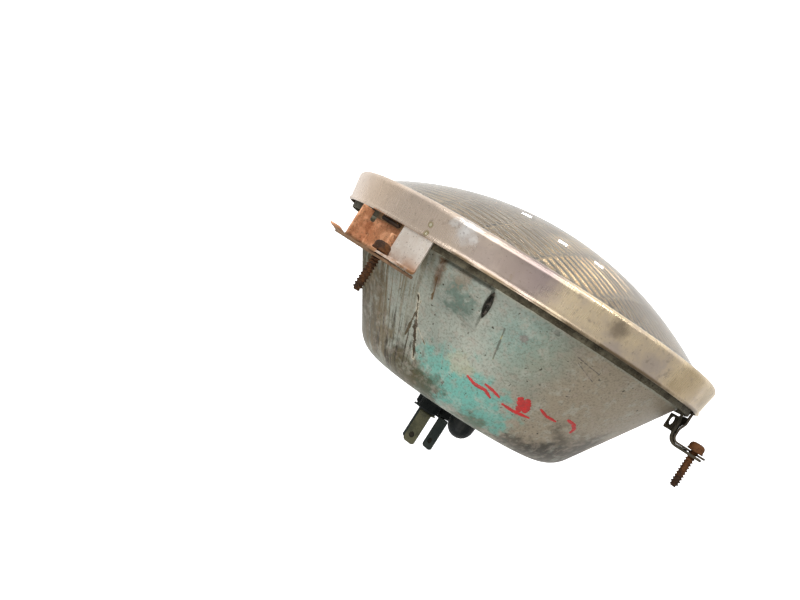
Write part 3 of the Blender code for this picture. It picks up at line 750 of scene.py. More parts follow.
packed = keep_piece("packed_rust", packed_mesh, [dark_rust_and_shade], "lamp")
soften(packed, 0.00006)

# %% [markdown]
# ## The screws
# Coarse self-tapping screws with pan heads. The thread is a real spiral: the radius rises and
# falls once for each turn, and the turn is read from the angle and the place along the shank.

# %% Screws
THREAD_PITCH = 0.0014
SHANK_TOP = -0.0027
SHANK_END = 0.0145
CREST = 0.0021
ROOT = 0.00145
HEAD_TOP = -0.0067
HEAD_RADIUS = 0.0036
THREAD_SIDES = 36
THREAD_ROWS = 150
RIDGE_SHARPNESS = 2.8
TIP_LENGTH = 0.0016
TIP_TAPER = 0.30
SHANK_SUNK = 0.0002               # how far the shank reaches into the head
HEAD_SIDES = 40
SCREW_SPIN = 25.0                 # degrees from one screw's recess to the next one's


def threaded_shank():
    vertices = []
    for row in range(THREAD_ROWS + 1):
        y = SHANK_TOP - SHANK_SUNK + (SHANK_END - SHANK_TOP + SHANK_SUNK) * row / THREAD_ROWS
        point = 1.0 - TIP_TAPER * smoothstep(y, SHANK_END - TIP_LENGTH, SHANK_END)
        turns = np.arange(THREAD_SIDES) * 2.0 * math.pi / THREAD_SIDES
        phase = (y / THREAD_PITCH - turns / (2.0 * math.pi)) % 1.0
        ridge = np.clip(1.0 - np.abs(phase - 0.5) * RIDGE_SHARPNESS, 0.0, 1.0)
        radius = (ROOT + (CREST - ROOT) * ridge) * point
        depth = np.full(THREAD_SIDES, y)
        vertices.append(np.stack([radius * np.sin(turns), depth, radius * np.cos(turns)], 1))
    faces = grid_faces(THREAD_ROWS + 1, THREAD_SIDES, False)
    faces += [tuple(range(THREAD_SIDES))]
    last = THREAD_ROWS * THREAD_SIDES
    faces += [tuple(last + i for i in range(THREAD_SIDES))[::-1]]
    return np.concatenate(vertices), faces


def spun_solid(outline, steps):
    """A solid turned from a profile whose two ends lie close to the axis."""
    faces = grid_faces(len(outline), steps, False)
    last = (len(outline) - 1) * steps
    faces += [tuple(range(steps)), tuple(last + i for i in range(steps))[::-1]]
    return closed_mesh("spun", lathe(outline, steps), faces)


head_outline = [(0.0006, HEAD_TOP), (0.0018, HEAD_TOP + 0.00015), (0.0027, HEAD_TOP + 0.0005),
                (0.0032, HEAD_TOP + 0.0011), (0.0034, HEAD_TOP + 0.0018), (0.0034, SHANK_TOP - 0.0009),
                (HEAD_RADIUS, SHANK_TOP - 0.0007), (HEAD_RADIUS, SHANK_TOP - 0.0002),
                (HEAD_RADIUS - 0.0002, SHANK_TOP), (0.0015, SHANK_TOP)]
RECESS_REACH = 0.0020
RECESS_WIDTH = 0.00055
RECESS_DEPTH = 0.0016
cross_cutters = []
for across in (0, 1):
    wide, thin = (RECESS_REACH, RECESS_WIDTH) if across else (RECESS_WIDTH, RECESS_REACH)
    plan = [(-wide, -thin), (wide, -thin), (wide, thin), (-wide, thin)]
    cross_cutters.append(pushed(plan, HEAD_TOP - CUT_PAST, HEAD_TOP + RECESS_DEPTH, axis=1))
head_mesh = carve(spun_solid(head_outline, HEAD_SIDES), cross_cutters)
shank_points, shank_faces = threaded_shank()
shank_mesh = new_mesh("shank", shank_points, shank_faces)
for number, angle in enumerate(STRAP_ANGLES, 1):
    shape = bmesh.new()
    shape.from_mesh(shank_mesh)
    shape.from_mesh(head_mesh)
    spin = Matrix.Rotation(math.radians(SCREW_SPIN * number), 4, "Y")
    stand = around(angle) @ Matrix.Translation((SCREW_SHIFT, 0.0, SCREW_CIRCLE)) @ spin
    bmesh.ops.transform(shape, matrix=stand, verts=shape.verts)
    screw_mesh = bpy.data.meshes.new("screw")
    shape.to_mesh(screw_mesh)
    shape.free()
    keep_piece(f"rusty_screw_{number}", screw_mesh, [screw_rust], f"screw_{number}",
               [f"retaining_screw_{number}"], 50.0)

# %% [markdown]
# A scrap of thin threaded rod has rusted fast between the mounting ring and the first bracket. It
# is the same spiral shank, made slimmer and laid along the ring.

# %% Threaded scrap
SCRAP_RADIUS = 0.0900
SCRAP_SLIMNESS = 0.43             # its thickness against a screw's
scrap_start = Vector(at_ring(-45.0, -0.0150, SCRAP_RADIUS))
scrap_end = Vector(at_ring(-37.5, -0.0147, SCRAP_RADIUS))
shorten = (scrap_end - scrap_start).length / (SHANK_END - SHANK_TOP)
scrap_points = [(x * SCRAP_SLIMNESS, (y - SHANK_TOP) * shorten, z * SCRAP_SLIMNESS)
                for x, y, z in shank_points]
scrap_mesh = new_mesh("scrap", scrap_points, shank_faces)
lie = (scrap_end - scrap_start).to_track_quat("Y", "Z").to_matrix().to_4x4()
scrap_mesh.transform(Matrix.Translation(scrap_start) @ lie)
scrap_rust = rust("scrap_rust", (0.050, 0.030, 0.018), (0.018, 0.013, 0.010), (0.006, 0.005, 0.004), 0.0001)
keep_piece("threaded_scrap", scrap_mesh, [scrap_rust], "lamp", (), 50.0)

# %% [markdown]
# ## The lens
# The lens is thick pressed glass. Its outside is smooth, and its inside carries upright flutes in
# bands, which spread the beam. The flutes run along the lamp's up direction.

# %% Lens shape
UP_ANGLE = 242.0
LENS_APEX = -0.0551
LENS_WALL = 0.0040
DOME_RADIUS = 0.0848
DOME_EDGE = -0.0296
FLANGE_RADIUS = 0.0886
LENS_STEP = -0.0287
LENS_REAR = -0.0232
INNER_RADIUS = DOME_RADIUS - LENS_WALL
INNER_EDGE = -0.026
HALF_TURN_STEPS = 320
FLUTE_ROWS = 110
FLUTE_PITCH = 0.0034
FLUTE_DEPTH = 0.00075
FLUTE_BAND = 0.022                # height of one band of flutes
PLAIN_MARGIN = 0.0035
PLAIN_FADE = 0.0015
SWIRL = 0.35                      # how much the pressed glass wavers


def dome_sphere(apex, edge_radius, edge_depth):
    """Radius of the sphere that a dome is cut from."""
    sag = edge_depth - apex
    return (edge_radius ** 2 + sag ** 2) / (2.0 * sag)


def dome_depth(radius, apex, edge_radius, edge_depth):
    sphere = dome_sphere(apex, edge_radius, edge_depth)
    return apex + sphere - np.sqrt(sphere ** 2 - radius ** 2)


dome = [(r, float(dome_depth(r, LENS_APEX, DOME_RADIUS, DOME_EDGE)))
        for r in np.linspace(0.0004, DOME_RADIUS, 30)]
lens_outline = dome + [(DOME_RADIUS + 0.0001, LENS_STEP - 0.0004), (DOME_RADIUS + 0.0005, LENS_STEP),
                       (FLANGE_RADIUS - 0.0003, LENS_STEP), (FLANGE_RADIUS, LENS_STEP + 0.0003),
                       (FLANGE_RADIUS, LENS_REAR), (INNER_RADIUS, LENS_REAR), (INNER_RADIUS, INNER_EDGE)]
lens_steps = 2 * HALF_TURN_STEPS
lens_points = lathe(lens_outline, lens_steps, first=math.radians(UP_ANGLE))
lens_faces = grid_faces(len(lens_outline), lens_steps, False) + [tuple(range(lens_steps))]


def flute_height(side, rise, radius):
    """How far the glass is thickened by a flute at a place on the inner face."""
    bands_up = (rise + FLUTE_BAND / 2.0) / FLUTE_BAND
    band = np.abs(bands_up % 1.0 - 0.5) * 2.0
    shift = np.floor(bands_up) * FLUTE_PITCH * 0.5
    arch = 1.0 - (np.abs((side + shift) / FLUTE_PITCH % 1.0 - 0.5) * 2.0) ** 2
    plain_from = INNER_RADIUS - PLAIN_MARGIN
    fade = 1.0 - smoothstep(radius, plain_from - PLAIN_FADE, plain_from)
    swirl = SWIRL * np.sin(rise / 0.0021 + side / 0.009)
    return FLUTE_DEPTH * fade * (arch * (1.0 - smoothstep(band, 0.88, 1.0)) + 0.25 * swirl)


turn = math.radians(UP_ANGLE)
steps = np.arange(HALF_TURN_STEPS + 1) * math.pi / HALF_TURN_STEPS
inner_points = []
for row in range(FLUTE_ROWS + 1):
    share = math.cos(math.pi * row / FLUTE_ROWS) * 0.35 + (1.0 - 2.0 * row / FLUTE_ROWS) * 0.65
    side = INNER_RADIUS * np.cos(steps)
    rise = INNER_RADIUS * np.sin(steps) * share
    radius = np.minimum(np.hypot(side, rise), INNER_RADIUS)
    depth = dome_depth(radius, LENS_APEX + LENS_WALL, INNER_RADIUS, INNER_EDGE)
    depth = depth + flute_height(side, rise, radius)
    inner_points.append(np.stack([side * math.cos(turn) - rise * math.sin(turn), depth,
                                  side * math.sin(turn) + rise * math.cos(turn)], 1))
count = HALF_TURN_STEPS + 1
base = len(lens_points)
for row in range(FLUTE_ROWS):
    for column in range(HALF_TURN_STEPS):
        first = base + row * count + column
        lens_faces.append((first, first + 1, first + count + 1, first + count))
lens_points = np.concatenate([lens_points] + inner_points)
print("flutes across the lens:", int(2.0 * INNER_RADIUS / FLUTE_PITCH))

# %% [markdown]
# Clear glass with a faint straw tint. A little roughness and haze stand for years of road dust.

# %% Lens glass
glass = Finish("clear_lens_glass", 0.0, 0.06)
glass.shader.inputs["IOR"].default_value = 1.5
glass.shader.inputs["Transmission Weight"].default_value = 1.0
dust = glass.noise(70.0, 6.0, 0.6)
scuff = glass.noise(900.0, 3.0, 0.6)
glass.colour = glass.blend(glass.ramp(dust, 0.40, 0.70), (0.815, 0.705, 0.540), (0.70, 0.595, 0.425))
glass.show(glass.plus(glass.times(dust, 0.08), 0.005),
           glass.bump(scuff, 0.00001, 0.3))
make_piece("fluted_lens", lens_points, lens_faces, [glass.material], "lamp", ["lens"], 60.0)

# %% [markdown]
# Round glass mirrors the lamps of a room as small bright ovals. Three tiny lights stand where the
# lens mirrors them towards the camera: the view is reflected about the dome's own normal.

# %% Sparks on the glass
SPARK_PLACES = ((0.0170, 0.0416), (-0.0017, 0.0560), (-0.0185, 0.0512))
SPARK_REACH = 0.12
SPARK_WIDTH = 0.0065
SPARK_HEIGHT = 0.0050
SPARK_POWER = 0.0016
dome_centre = Vector((0.0, LENS_APEX + dome_sphere(LENS_APEX, DOME_RADIUS, DOME_EDGE), 0.0))
for number, (x, z) in enumerate(SPARK_PLACES, 1):
    spot = Vector((x, float(dome_depth(math.hypot(x, z), LENS_APEX, DOME_RADIUS, DOME_EDGE)), z))
    normal = (spot - dome_centre).normalized()
    outward = (spot - CAMERA_PLACE).normalized().reflect(normal)
    spark = soft_light(f"spark_{number}", spot + outward * SPARK_REACH, spot, SPARK_WIDTH, SPARK_HEIGHT,
                       SPARK_POWER)
    spark.visible_camera = False
    print("spark", number, [round(v, 3) for v in spark.location])

# %% [markdown]
# ## The reflector bowl
# The back of the lamp is a glass bowl, silvered inside. Three raised pads on its cone seat it in
# the mounting ring. The lathe pushes the cone out where a pad is, and cuts a slot at its end.

# %% Bowl shape
CONE_FRONT = (0.0830, -0.0140)
CONE_SLOPE = 0.622
BOWL_REAR = 0.0382
SHOULDER_RADIUS = 0.0160
BOWL_WALL = 0.0036
BOWL_THROAT = 0.0812
GLASS_SEAM = -0.0229
GLASS_RIM_REAR = -0.0188
LUG_ANGLES = (-15.2, 104.8, 224.8)
LUG_HALF = 8.0
LUG_STAND = 0.0024
LEAF_HALF = 0.95                  # degrees
LEAF_MIDDLE = -0.0072
LEAF_REACH = 0.0056
LEAF_OFFSET = 0.3                 # degrees from a pad's end to the middle of its slot
SLOT_DEPTH = 0.0008
PAD_ZONE = (-0.0150, 0.0060)
PAD_RISE = (-0.0146, -0.0118)
PAD_FALL = (-0.0030, 0.0055)
GLASS_RIPPLE = 0.00012
BOWL_STEPS = 720
slant = math.hypot(1.0, CONE_SLOPE)


def cone_radius(y, inset=0.0):
    return CONE_FRONT[0] - CONE_SLOPE * (y - CONE_FRONT[1]) - inset * slant


def shoulder(radius, rear, inset, count):
    lean = math.degrees(math.atan(CONE_SLOPE))
    centre_y = rear - radius
    centre_r = cone_radius(centre_y, inset) - radius * slant
    return arc((centre_r, centre_y), radius, lean, 90.0, count)


def bowl_pads(angles, radii, depths):
    """Pads that fade into the cone towards the rear, with a slot at one end of each."""
    y = depths[0]
    rippled = radii + GLASS_RIPPLE * waves(angles, depths, seed=21, size=0.01)
    on_the_cone = radii[0] >= cone_radius(y) - 0.0015
    if not PAD_ZONE[0] < y < PAD_ZONE[1] or not on_the_cone:
        return rippled, depths
    raised = np.zeros_like(radii)
    for middle in LUG_ANGLES:
        turned = (np.degrees(angles) - middle + 180.0) % 360.0 - 180.0
        left = smoothstep(turned, -LUG_HALF - 0.5, -LUG_HALF + 0.5)
        right = smoothstep(-turned, -LUG_HALF - 0.15, -LUG_HALF + 0.15)
        rise = smoothstep(y, *PAD_RISE) * (1.0 - smoothstep(y, *PAD_FALL))
        raised += LUG_STAND * left * right * rise
        slot_half = LEAF_HALF * max(1.0 - ((y - LEAF_MIDDLE) / LEAF_REACH) ** 2, 0.0)
        from_slot = np.abs(turned - LUG_HALF - LEAF_OFFSET)
        raised -= SLOT_DEPTH * smoothstep(slot_half - from_slot, -0.15, 0.3)
    return rippled + raised, depths


outer = [(FLANGE_RADIUS, GLASS_SEAM), (FLANGE_RADIUS, GLASS_RIM_REAR - 0.0004),
         (FLANGE_RADIUS - 0.0004, GLASS_RIM_REAR), (CONE_FRONT[0] + 0.0013, GLASS_RIM_REAR),
         (CONE_FRONT[0] + 0.0006, -0.0174)]
curve = shoulder(SHOULDER_RADIUS, BOWL_REAR, 0.0, 16)
pads_end = (cone_radius(PAD_ZONE[1]), PAD_ZONE[1])
outer += between(CONE_FRONT, pads_end, steps=36) + between(pads_end, curve[0], steps=12)
outer += curve + between(curve[-1], (0.002, BOWL_REAR), steps=10)[1:] + [(0.0005, BOWL_REAR)]
inner_rear = BOWL_REAR - BOWL_WALL
inner_curve = shoulder(SHOULDER_RADIUS - BOWL_WALL, inner_rear, BOWL_WALL, 12)
throat = CONE_FRONT[1] + (cone_radius(CONE_FRONT[1], BOWL_WALL) - BOWL_THROAT) / CONE_SLOPE
inner = [(0.0005, inner_rear)] + inner_curve[::-1] + [(BOWL_THROAT, throat), (BOWL_THROAT, GLASS_SEAM)]
bowl_points = lathe(outer + inner, BOWL_STEPS, change=bowl_pads)
bowl_faces = grid_faces(len(outer + inner), BOWL_STEPS)
print("faces of the bowl:", len(bowl_faces))

# %% [markdown]
# The outside of the bowl is the most worn thing here: silver-grey glass with teal patches, cream
# flakes along a crack, ochre run marks and black grime near the rear edge. Each stain is placed
# by its angle round the lamp and its distance along the axis.

# %% Bowl finish
def bowl_radius(y):
    centre_y = BOWL_REAR - SHOULDER_RADIUS
    centre_r = cone_radius(centre_y) - SHOULDER_RADIUS * slant
    turn_y = centre_y + SHOULDER_RADIUS * CONE_SLOPE / slant
    if y < turn_y:
        return cone_radius(y)
    return centre_r + math.sqrt(max(SHOULDER_RADIUS ** 2 - (y - centre_y) ** 2, 0.0))


def on_bowl(degrees, y):
    turn = math.radians(degrees)
    radius = bowl_radius(y)
    return (-radius * math.sin(turn), y, radius * math.cos(turn))


aged = Finish("aged_bowl_glass", 0.20, 0.46)
broad = aged.noise(26.0, 5.0, 0.6)
mottle = aged.noise(170.0, 6.0, 0.65)
fine = aged.noise(1100.0, 4.0, 0.65)
parts = aged.add("ShaderNodeSeparateXYZ")
aged.put(parts.inputs[0], aged.place)
SILVER = (0.385, 0.405, 0.340)
TEAL = (0.205, 0.325, 0.275)
BRIGHT_TEAL = (0.155, 0.410, 0.345)
PINK_GREY = (0.330, 0.275, 0.198)
OCHRE = (0.165, 0.118, 0.050)
GRIME = (0.030, 0.026, 0.016)
CREAM = (0.62, 0.56, 0.42)
CONE_MIDDLE_RADIUS = 0.065
DUSTY = (0.235, 0.265, 0.225)
sway = aged.times(aged.less(broad, 0.5), 0.06)
to_right = aged.ramp(aged.plus(parts.outputs["X"], sway), 0.000, -0.036)
aged.colour = aged.blend(aged.ramp(broad, 0.38, 0.62), SILVER, DUSTY)
aged.lay(aged.patch(on_bowl(11.0, -0.001), 0.024, 0.9, 0.3), TEAL)
aged.lay(to_right, PINK_GREY)
# A stain has an angle in degrees, a place along the axis, a size, a colour and a strength.
STAINS = [(-15.0, -0.0040, 0.0100, (0.12, 0.175, 0.14), 0.90),
          (-16.0, -0.0115, 0.0060, (0.25, 0.20, 0.14), 0.75),
          (-14.0, 0.0240, 0.0130, BRIGHT_TEAL, 0.85), (-2.0, 0.0265, 0.0160, BRIGHT_TEAL, 0.95),
          (13.0, 0.0290, 0.0150, BRIGHT_TEAL, 0.90), (-60.0, 0.0130, 0.0200, OCHRE, 0.90),
          (-49.0, 0.0256, 0.0150, OCHRE, 0.80), (-62.0, -0.0040, 0.0120, (0.08, 0.06, 0.03), 0.80),
          (-2.8, 0.0186, 0.0038, OCHRE, 0.60), (-34.9, 0.0300, 0.0080, GRIME, 0.70),
          (-60.0, 0.0250, 0.0160, (0.06, 0.048, 0.024), 0.60),
          (-18.3, 0.0345, 0.0120, (0.055, 0.07, 0.035), 0.90),
          (-30.0, 0.0340, 0.0140, (0.10, 0.08, 0.035), 0.85),
          (-6.0, 0.0180, 0.0070, (0.42, 0.42, 0.30), 0.70),
          (12.0, 0.0372, 0.0110, (0.10, 0.115, 0.065), 0.80), (32.8, 0.0345, 0.0100, GRIME, 0.75),
          (66.0, 0.0345, 0.0300, (0.060, 0.045, 0.024), 0.95), (48.1, 0.0330, 0.0110, GRIME, 0.70),
          (6.4, -0.0038, 0.0026, (0.20, 0.165, 0.15), 0.80), (12.3, -0.0121, 0.0022, GRIME, 0.70),
          (-24.0, -0.0060, 0.0024, OCHRE, 0.90), (-22.5, -0.0115, 0.0030, (0.20, 0.10, 0.04), 0.80),
          (150.0, 0.0100, 0.0200, TEAL, 0.80), (200.0, 0.0280, 0.0160, GRIME, 0.60),
          (270.0, 0.0150, 0.0220, OCHRE, 0.60)]
for degrees, y, size, colour, share in STAINS:
    spot = aged.times(aged.patch(on_bowl(degrees, y), size, 0.6, 1.0), share)
    aged.lay(spot, colour)
flat_map = aged.round_place(CONE_MIDDLE_RADIUS)[0]
runs = aged.noise(1.0, 4.0, 0.6, aged.stretched((330.0, 24.0, 1.0), flat_map))
side_dirt = aged.ramp(parts.outputs["X"], 0.026, 0.050)
aged.lay(aged.times(side_dirt, aged.ramp(runs, 0.44, 0.58)), OCHRE)
far_side = aged.times(aged.ramp(parts.outputs["X"], 0.042, 0.062), 0.85)
far_spots = aged.ramp(aged.plus(mottle, aged.times(runs, 0.8)), 0.62, 0.98)
aged.lay(aged.times(far_side, far_spots), (0.040, 0.028, 0.008))
aged.put(aged.shader.inputs["Specular IOR Level"], aged.less(0.30, aged.times(far_side, 0.35)))
aged.put(aged.shader.inputs["Metallic"], aged.less(0.20, aged.times(far_side, 0.23)))
streaks = aged.noise(1.0, 5.0, 0.65, aged.stretched((520.0, 40.0, 1.0), flat_map))
low_left = aged.patch(on_bowl(-38.0, 0.0270), 0.020, 0.6, 0.8)
aged.lay(aged.times(low_left, aged.ramp(streaks, 0.50, 0.58)), (0.045, 0.035, 0.018))
# A line has a first and a last place, a half width, and the colours of its middle and its edges.
LINES = [((-29.2, 0.0035), (-25.0, 0.0265), 0.00060, (0.060, 0.042, 0.022), CREAM),
         ((-27.6, 0.0050), (-31.5, 0.0200), 0.00028, (0.10, 0.075, 0.040), CREAM),
         ((-23.4, -0.0100), (-23.9, 0.0020), 0.00050, (0.13, 0.080, 0.030), (0.22, 0.16, 0.08)),
         ((-26.0, 0.0150), (-21.5, 0.0190), 0.00022, (0.13, 0.10, 0.055), CREAM),
         ((0.4, -0.0031), (2.4, 0.0090), 0.00022, (0.12, 0.14, 0.11), (0.40, 0.34, 0.12)),
         ((21.4, -0.0089), (30.5, -0.0077), 0.00016, (0.14, 0.12, 0.10), (0.16, 0.14, 0.12)),
         ((23.0, -0.0070), (31.0, -0.0040), 0.00014, (0.14, 0.12, 0.10), (0.16, 0.14, 0.12))]


def line_distance(finish, first, last):
    """Distance from a straight stretch between two points, bent a little by noise."""
    a, b = Vector(first), Vector(last)
    along = b - a
    away = finish.add("ShaderNodeVectorMath", operation="SUBTRACT")
    finish.put(away.inputs[0], finish.place)
    finish.put(away.inputs[1], tuple(a))
    dot = finish.add("ShaderNodeVectorMath", operation="DOT_PRODUCT")
    finish.put(dot.inputs[0], away.outputs[0])
    finish.put(dot.inputs[1], tuple(along / along.length_squared))
    share = finish.maths("ADD", dot.outputs["Value"], 0.0, True)
    point = finish.add("ShaderNodeVectorMath", operation="SCALE")
    finish.put(point.inputs[0], tuple(along))
    finish.put(point.inputs["Scale"], share)
    gap = finish.add("ShaderNodeVectorMath", operation="DISTANCE")
    finish.put(gap.inputs[0], away.outputs[0])
    finish.put(gap.inputs[1], point.outputs[0])
    return gap.outputs["Value"]


for first, last, width, dark, edge in LINES:
    gap = line_distance(aged, on_bowl(*first), on_bowl(*last))
    wobble = aged.times(aged.less(mottle, 0.5), width * 9.0)
    gap = aged.plus(gap, wobble)
    flaking = aged.times(aged.ramp(gap, width * 2.4, width * 1.2), aged.ramp(mottle, 0.46, 0.56))
    aged.lay(flaking, edge)
    aged.lay(aged.ramp(gap, width * 1.2, width * 0.6), dark)
round_map = aged.round_place(math.degrees(1.0))[0]
round_parts = aged.add("ShaderNodeSeparateXYZ")
aged.put(round_parts.inputs[0], round_map)
degrees_here = aged.times(round_parts.outputs["X"], -1.0)
leaf_y = aged.maths("DIVIDE", aged.less(parts.outputs["Y"], LEAF_MIDDLE), LEAF_REACH)
leaf_bulge = aged.times(leaf_y, leaf_y)
painted_slot_shadow, pad_rust = 0.0, 0.0
for middle in LUG_ANGLES:
    apart_by = aged.less(degrees_here, middle + LUG_HALF + LEAF_OFFSET)
    apart_by = aged.maths("WRAP", apart_by, 180.0)
    apart_by.node.inputs[2].default_value = -180.0
    across = aged.maths("DIVIDE", aged.maths("ABSOLUTE", apart_by), LEAF_HALF)
    leaf = aged.ramp(aged.plus(across, leaf_bulge), 1.12, 0.88)
    painted_slot_shadow = aged.maths("MAXIMUM", painted_slot_shadow, leaf)
    edge_gap = aged.maths("ABSOLUTE", aged.plus(apart_by, 2.0 * (LUG_HALF + LEAF_OFFSET)))
    edge_rust = aged.ramp(aged.plus(edge_gap, aged.times(mottle, 3.0)), 4.4, 2.0)
    pad_rust = aged.maths("MAXIMUM", pad_rust, edge_rust)
along_pad = aged.ramp(parts.outputs["Y"], 0.0010, -0.0060)
aged.lay(aged.times(pad_rust, along_pad), (0.115, 0.062, 0.026))
# Painted shadow: the slot at the end of each pad is laid near black.
aged.lay(painted_slot_shadow, (0.010, 0.009, 0.006))
front_edge = aged.ramp(parts.outputs["Y"], -0.0128, -0.0142)
aged.lay(front_edge, (0.33, 0.33, 0.25))
specks = aged.ramp(aged.noise(620.0, 2.0, 0.5), 0.685, 0.73)
aged.lay(specks, (0.05, 0.045, 0.03))
aged.lay(aged.times(aged.ramp(mottle, 0.50, 0.68), 0.45), (0.45, 0.46, 0.39))
blush = aged.noise(330.0, 5.0, 0.7)
aged.lay(aged.times(aged.ramp(blush, 0.50, 0.62), 0.35), (0.36, 0.29, 0.235))
aged.lay(aged.times(aged.ramp(fine, 0.46, 0.64), 0.42), (0.10, 0.10, 0.075))
aged_skin = aged.bump(mottle, 0.00018, 0.45)
aged_skin = aged.bump(fine, 0.00004, 0.45, aged_skin)
aged.show(aged.plus(aged.times(mottle, 0.28), 0.26), aged_skin)

SILVER_REAR = 0.0350              # a face in front of this, and this far inside, is silvered
SILVER_INSET = 0.0022
silver = Finish("silvered_inside", 1.0, 0.09)
tarnish = silver.noise(45.0, 5.0, 0.6)
silver.colour = silver.blend(silver.ramp(tarnish, 0.45, 0.75), (0.86, 0.84, 0.79), (0.60, 0.53, 0.42))
silver.show(silver.plus(silver.times(tarnish, 0.14), 0.03))

bowl = make_piece("aged_reflector_bowl", bowl_points, bowl_faces, [aged.material, silver.material], "lamp",
                  ["reflector_bowl"], 40.0)
for face in bowl.data.polygons:
    middle = face.center
    reach = math.hypot(middle.x, middle.z)
    outside = bowl_radius(max(middle.y, CONE_FRONT[1]))
    if middle.y < SILVER_REAR and reach < outside - SILVER_INSET:
        face.material_index = 1
print("silvered faces:", sum(1 for f in bowl.data.polygons if f.material_index == 1))

# %% [markdown]
# ## Terminals and the exhaust tip
# Three flat blades stand in stepped sleeves on the flat back of the bowl, and beside them is the
# dark glass tip where the air was drawn out. The frame's own shapes are right; they get soft
# edges and worn finishes.

# %% Terminal finishes
def metal_finish(name, base, worn, dark, metallic, roughness, shine=0.5):
    """Metal or painted metal in three tones: as new, worn, and dark in its pits."""
    finish = Finish(name, metallic, roughness)
    finish.shader.inputs["Specular IOR Level"].default_value = shine
    cloud = finish.noise(220.0, 5.0, 0.6)
    grit = finish.noise(1500.0, 4.0, 0.65)
    finish.colour = finish.blend(finish.ramp(cloud, 0.40, 0.66), base, worn)
    finish.lay(finish.ramp(grit, 0.54, 0.70), dark)
    rough = finish.plus(finish.times(cloud, 0.3), roughness - 0.12)
    finish.show(rough, finish.bump(grit, 0.00005, 0.6))
    return finish.material


black_sleeve = metal_finish("black_sleeve", (0.004, 0.006, 0.006), (0.010, 0.012, 0.011),
                            (0.002, 0.002, 0.002), 0.0, 0.70, 0.12)
olive_brass = metal_finish("olive_brass", (0.120, 0.115, 0.062), (0.065, 0.066, 0.036),
                           (0.020, 0.021, 0.013), 0.4, 0.6)
grey_green = metal_finish("grey_green_brass", (0.026, 0.036, 0.032), (0.045, 0.054, 0.044),
                          (0.010, 0.013, 0.011), 0.1, 0.6, 0.25)
black_glass = metal_finish("black_exhaust_glass", (0.007, 0.010, 0.010), (0.020, 0.021, 0.017),
                           (0.003, 0.004, 0.004), 0.0, 0.45, 0.20)
nickel = metal_finish("nickel_lead", (0.55, 0.53, 0.49), (0.42, 0.40, 0.36), (0.20, 0.18, 0.15), 1.0, 0.3)
tungsten = metal_finish("tungsten_coil", (0.22, 0.22, 0.23), (0.30, 0.30, 0.31), (0.08, 0.08, 0.09), 1.0, 0.4)
# A dressed node has its name, a finish, a slot and the width of its softened edges.
DRESSED = [("terminal_ferrule_low", black_sleeve, "black_ferrule", 0.00025),
           ("terminal_ferrule_ground", black_sleeve, "black_ferrule", 0.00025),
           ("terminal_ferrule_high", black_sleeve, "black_ferrule", 0.00025),
           ("terminal_blade_low", grey_green, "dull_brass", 0.00012),
           ("terminal_blade_ground", olive_brass, "dull_brass", 0.00012),
           ("terminal_blade_high", grey_green, "dull_brass", 0.00012),
           ("exhaust_tip", black_glass, "black_glass", 0.0002),
           ("lead_wire_low", nickel, "nickel_wire", 0.00005),
           ("lead_wire_ground", nickel, "nickel_wire", 0.00005),
           ("lead_wire_high", nickel, "nickel_wire", 0.00005)]
for name, finish, slot_name, edge in DRESSED:
    node = nodes[name]
    weld = node.modifiers.new("weld", "WELD")
    weld.merge_threshold = WELD_GAP
    soften(node, edge)
    node.data.materials.clear()
    node.data.materials.append(finish)

# %% [markdown]
# Grease and dirt sit in the holes of two blades. Each plug is a small domed disc, a little thinner
# than the blade, so the hole still shows as a hollow.

# %% Grime in the blade holes
TERMINAL_MIDDLE = Vector((0.0048, 0.0, 0.0))
HALF_SPACING = 0.0089
HOLE_PLACE = 0.0592
PLUG_SIDES = 24
LOW_BLADE_TURN = 76.0
GROUND_BLADE_TURN = 90.0
plug_outline = [(0.00002, -0.00028), (0.0008, -0.00024), (0.00138, -0.00012), (0.00138, 0.00012),
                (0.0008, 0.00024), (0.00002, 0.00028)]
plug_dirt = metal_finish("plug_dirt", (0.016, 0.014, 0.009), (0.030, 0.026, 0.016),
                         (0.005, 0.005, 0.004), 0.0, 0.8, 0.2)
PLUGGED = (("low", 1.0, UP_ANGLE + LOW_BLADE_TURN), ("ground", -1.0, UP_ANGLE - GROUND_BLADE_TURN))
for name, side, angle in PLUGGED:
    beside = around(UP_ANGLE) @ Vector((side * HALF_SPACING, 0.0, 0.0))
    stand = TERMINAL_MIDDLE + beside + Vector((0.0, HOLE_PLACE, 0.0))
    plug_mesh = spun_solid(plug_outline, PLUG_SIDES)
    plug_mesh.transform(Matrix.Translation(stand) @ around(angle) @ Matrix.Rotation(math.pi / 2.0, 4, "X"))
    keep_piece(f"grime_plug_{name}", plug_mesh, [plug_dirt], "lamp")

# %% [markdown]
# ## Filaments
# Each filament is a fine tungsten coil between two leads. The frame holds a plain rod, so the coil
# runs along the same line, from end to end of that rod's box.

# %% Filament coils
COIL_RADIUS = 0.00055
WIRE_RADIUS = 0.00014
COIL_TURNS = 13
TURN_STEPS = 14
COIL_INSET = 0.0002
COIL_SIDES = 6


